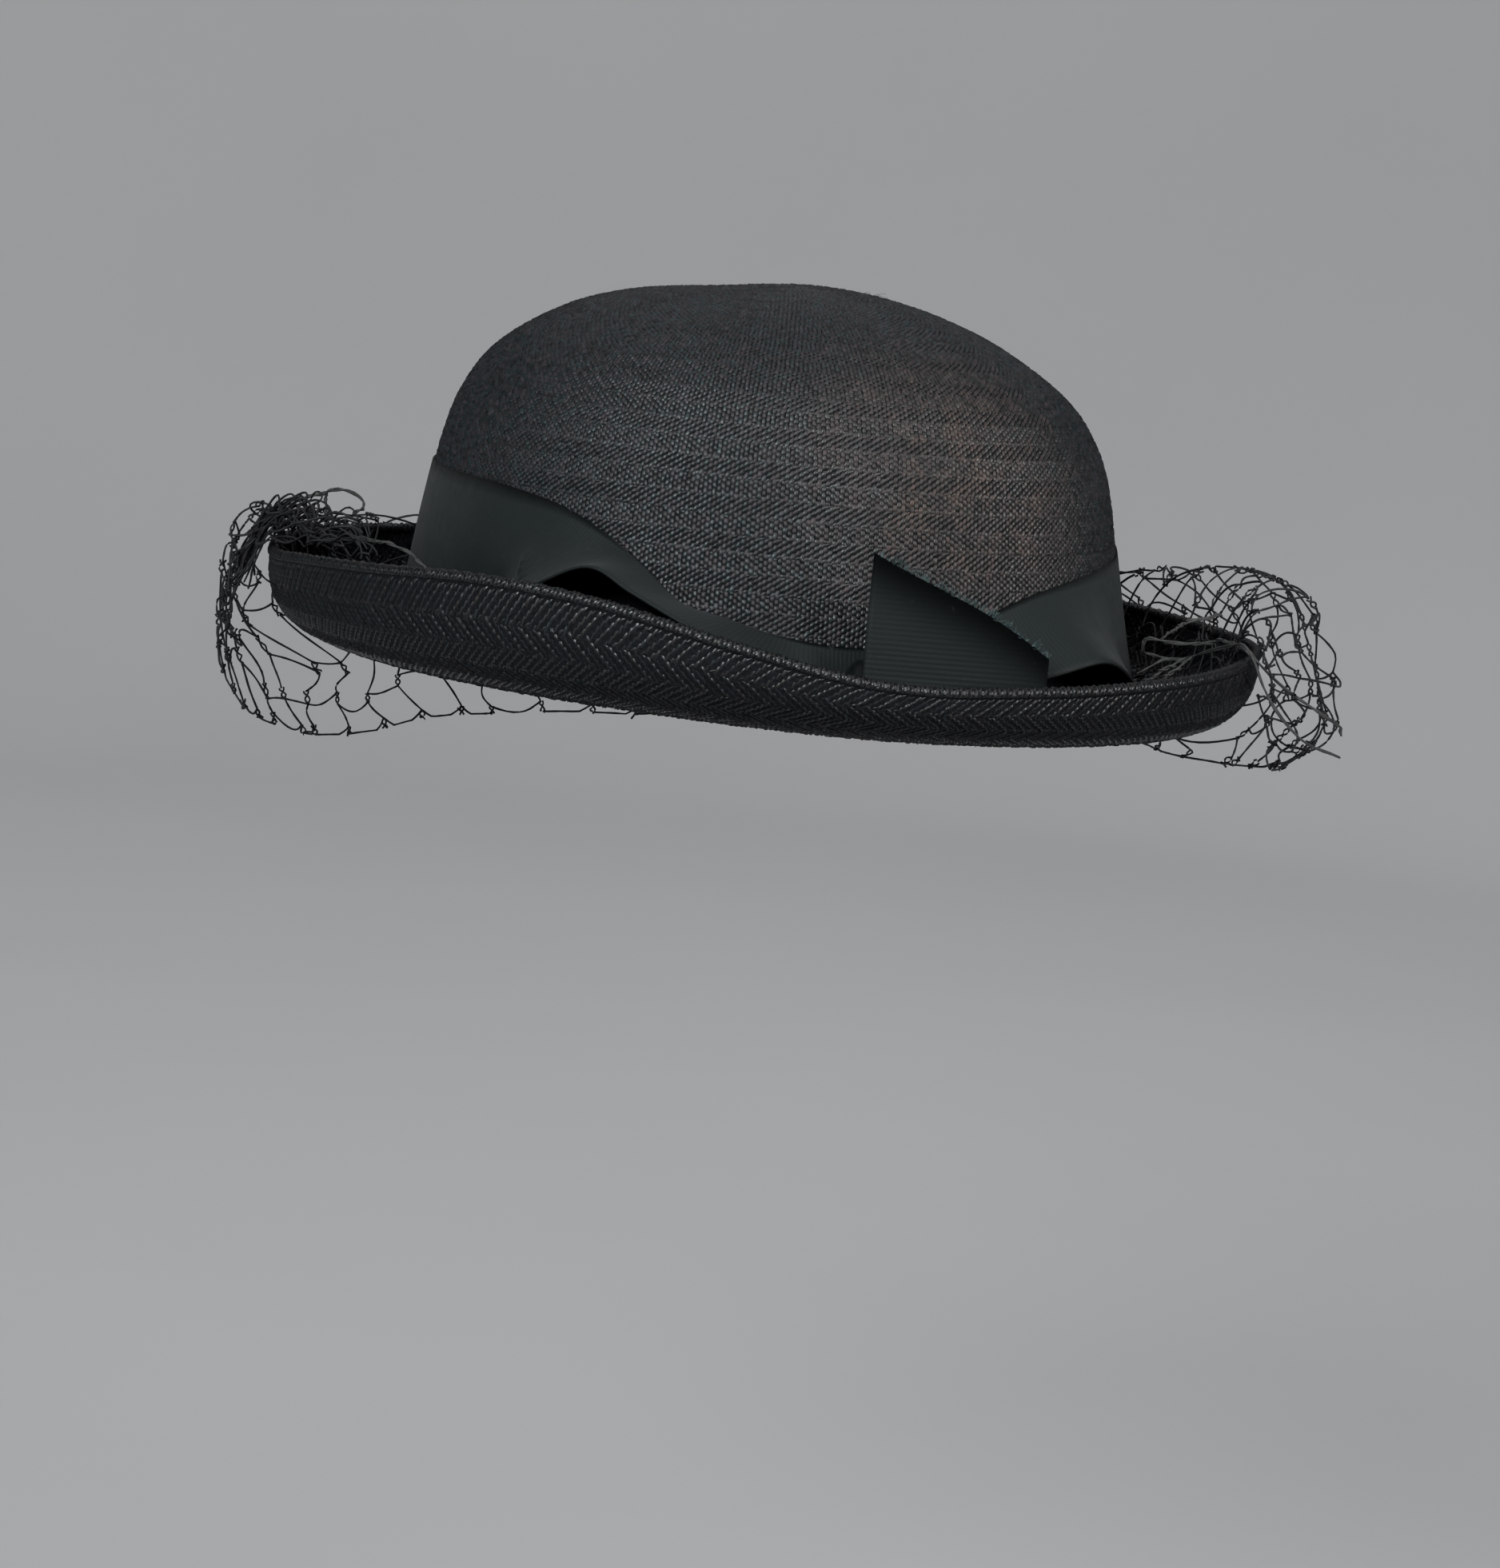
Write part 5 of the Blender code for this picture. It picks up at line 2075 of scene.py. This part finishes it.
    def build(self) -> list[bpy.types.Object]:
        """Build the veil.

        Returns:
            The net, the bunch at its end and the loose strands.
        """
        chance = np.random.default_rng(SEED + 20)
        threads, knots = self.hang_threads(chance)
        groups = [(threads, self.thread), (knots, self.thread * self.knot_thread)]
        net = self.tubes("veil_net_threads", groups, self.finish, chance)
        groups = [(self.bunch(chance), self.thread)]
        bunch = self.tubes("veil_bunch_threads", groups, self.finish, chance)
        groups = [(self.loose_strands(), self.thread * self.loose_strand_thread)]
        painted_light_strands = self.tubes("veil_loose_strands", groups, self.painted_light_strands, chance)
        for piece in (net, bunch, painted_light_strands):
            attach(piece, "root")
        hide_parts("veil")
        return [net, bunch, painted_light_strands]

    def tubes(self, name: str, groups: Sequence[tuple[Shape, float]], finish: bpy.types.Material,
              chance: np.random.Generator) -> bpy.types.Object:
        """Make round threads along many lines, lumpy as twisted thread is.

        Args:
            name: the piece's name.
            groups: arrays of lines, each with its threads' radius.
            finish: its material.
            chance: where its chance comes from.

        Returns:
            The piece.
        """
        points, faces, count = [], [], 0
        for lines, radius in groups:
            for line in lines:
                lumps = self.thread_least + self.thread_scatter * chance.random(len(line))
                swell = radius * lumps
                tube, quads = tube_points(line, swell, self.sides)
                points.append(tube)
                faces.append(quads + count)
                count += len(tube)
        return make_object(name, np.concatenate(points), [np.concatenate(faces)], finish)


class LampKind(Enum):
    """The kinds of lamp in the studio."""

    SPOT = "SPOT"
    AREA = "AREA"


class Lamp(NamedTuple):
    """A lamp: where it is and aims, its width in metres, its power in watts and its colour."""

    name: str
    kind: LampKind
    place: tuple
    aimed: tuple
    size: float
    power: float
    colour: tuple


LAMPS = (
    Lamp("key", LampKind.SPOT, place=(-0.72, -1.17, 0.62), aimed=(0, 0, 0.04),
         size=0.26, power=92, colour=(0.97, 0.99, 1.0)),
    Lamp("fill", LampKind.SPOT, place=(1.10, -1.15, 0.66), aimed=(0, 0, 0.04),
         size=0.30, power=80, colour=(1.0, 0.98, 0.96)),
    Lamp("side", LampKind.AREA, place=(-1.35, -0.35, 0.10), aimed=(0, 0, 0.03),
         size=0.3, power=2.8, colour=(0.95, 0.98, 1.0)),
    Lamp("sweep_front", LampKind.AREA, place=(0.0, 0.60, 1.30), aimed=(0, 2.2, 0.30),
         size=1.2, power=14, colour=(1.0, 0.99, 0.98)),
    Lamp("sweep_back", LampKind.AREA, place=(0.0, -0.60, 1.30), aimed=(0, -2.2, 0.30),
         size=1.2, power=14, colour=(1.0, 0.99, 0.98)),
)


@dataclass
class Studio:
    """The pale sweep that the hat is shown before, the lights and the camera."""

    azimuth: float = -13.104
    elevation: float = 4.005
    roll: float = 5.4845
    distance: float = 1.2
    focal_pixels: float = 6630.0
    image: tuple = (1876, 1961)
    target_pixel: tuple = (964.3, 626.6)
    target: tuple = (0.0, 0.0, 0.040)
    sensor: float = 36.0
    floor_height: float = -0.30
    sweep_radius: float = 2.4
    sweep_rows: int = 40
    sweep_columns: int = 96
    sweep_spread: float = 1.6
    wall_from: float = 0.42
    wall_power: float = 1.6
    wall_height: float = 2.6
    wall_stretch: float = 3
    sweep_roughness: float = 0.85
    sweep_colours: tuple = ((0.60, 0.61, 0.62), (0.66, 0.67, 0.68))
    spot_angle: float = 30.0
    sky_colour: tuple = (0.96, 0.97, 1.0, 1)
    sky_strength: float = 0.26

    def build_camera(self) -> None:
        """Make the camera."""
        a, e = math.radians(self.azimuth), math.radians(self.elevation)
        back = Vector((math.sin(a) * math.cos(e), -math.cos(a) * math.cos(e), math.sin(e)))
        level = Vector((math.cos(a), math.sin(a), 0))
        upright = back.cross(level)
        r = math.radians(self.roll)
        right = level * math.cos(r) + upright * math.sin(r)
        up = upright * math.cos(r) - level * math.sin(r)
        turned = Matrix((right, up, back)).transposed()
        off = Vector(((self.target_pixel[0] - self.image[0] / 2) / self.focal_pixels,
                      (self.image[1] / 2 - self.target_pixel[1]) / self.focal_pixels, -1))
        aim = Vector((0, 0, -1)).rotation_difference(off).to_matrix()
        data = bpy.data.cameras.new("camera")
        data.sensor_width = self.sensor
        data.lens = self.focal_pixels * self.sensor / max(self.image)
        data.clip_end = 50
        camera = bpy.data.objects.new("camera", data)
        camera.location = Vector(self.target) + back * self.distance
        camera.rotation_mode = "QUATERNION"
        camera.rotation_quaternion = (turned @ aim.inverted()).to_quaternion()
        bpy.context.scene.collection.objects.link(camera)
        bpy.context.scene.camera = camera

    def build_floor(self) -> None:
        """Make the sweep: a floor that bends up into a wall on every side."""
        rows, columns = self.sweep_rows, self.sweep_columns
        share = np.linspace(0, 1, rows)[:, None]
        turn = (2 * np.pi * np.arange(columns) / columns)[None, :]
        spread = np.minimum(share * self.sweep_spread, 1)
        reach = self.sweep_radius * np.sin(spread * np.pi / 2)
        wall = np.maximum(share - self.wall_from, 0) ** self.wall_power
        rise = self.floor_height + self.wall_height * wall * self.wall_stretch
        points = columns_of(reach * np.cos(turn), reach * np.sin(turn), rise + 0 * turn)
        nodes = Nodes("pale_sweep")
        nodes.put(nodes.shader.inputs["Base Color"],
                  nodes.mix(nodes.noise(4), *self.sweep_colours))
        nodes.shader.inputs["Roughness"].default_value = self.sweep_roughness
        faces = grid_faces(rows, columns, False, True)
        floor = make_object("sweep", points, [faces], nodes.finish)

    def build_lights(self) -> None:
        """Make the soft studio light."""
        world = bpy.data.worlds.new("studio")
        world.use_nodes = True
        background = world.node_tree.nodes["Background"]
        background.inputs["Color"].default_value = self.sky_colour
        background.inputs["Strength"].default_value = self.sky_strength
        bpy.context.scene.world = world
        for lamp in LAMPS:
            data = bpy.data.lights.new(lamp.name, lamp.kind.value)
            if lamp.kind is LampKind.SPOT:
                data.shadow_soft_size = lamp.size
                data.spot_size = math.radians(self.spot_angle)
                data.spot_blend = 1.0
            else:
                data.size = lamp.size
            data.energy = lamp.power
            data.color = lamp.colour
            made = bpy.data.objects.new(lamp.name, data)
            made.location = lamp.place
            aim = Vector(lamp.aimed) - Vector(lamp.place)
            made.rotation_mode = "QUATERNION"
            made.rotation_quaternion = aim.to_track_quat("-Z", "Y")
            bpy.context.scene.collection.objects.link(made)

    def build(self) -> None:
        """Make the camera, the sweep and the lights."""
        self.build_camera()
        self.build_floor()
        self.build_lights()


def main() -> None:
    """Build the studio and every piece of the hat."""
    logging.basicConfig(level=logging.INFO, format="%(message)s")
    form = HatForm()
    straw = StrawFinish()
    woven, ground = straw.make(), straw.make_ground()
    # the brim's straw is a darker copy of the crown's straw: painted shade that keeps the brim dark
    brim_straw_painted_shade = StrawFinish(
        "dyed_straw_brim_painted_shade", teal=(0.009, 0.014, 0.0155), blue=(0.011, 0.0125, 0.015),
        mauve=(0.0125, 0.0105, 0.0105), rough_low=0.25, rough_high=0.40).make()
    ribbon = RibbonFinish().make()
    net = ThreadFinish("black_net_thread", colour=(0.003, 0.003, 0.004),
                       pale=(0.014, 0.016, 0.017), roughness=0.65).make()
    # the loose strands are the black net thread painted pale grey: painted light on the fuzzy thread
    painted_light_strands = ThreadFinish("net_thread_painted_light", colour=(0.03, 0.031, 0.030),
                         pale=(0.075, 0.080, 0.078), roughness=0.7).make()
    fray = ThreadFinish("frayed_thread", colour=(0.03, 0.05, 0.05),
                        pale=(0.17, 0.23, 0.23), roughness=0.7).make()
    Studio().build()
    for part in (Crown(form, woven, ground), Brim(form, brim_straw_painted_shade, ground), Band(form, ribbon),
                 Bow(form, ribbon, fray), Veil(form, net, painted_light_strands)):
        for piece in part.build():
            LOG.info("built %s", piece.name)


if __name__ == "__main__":
    main()
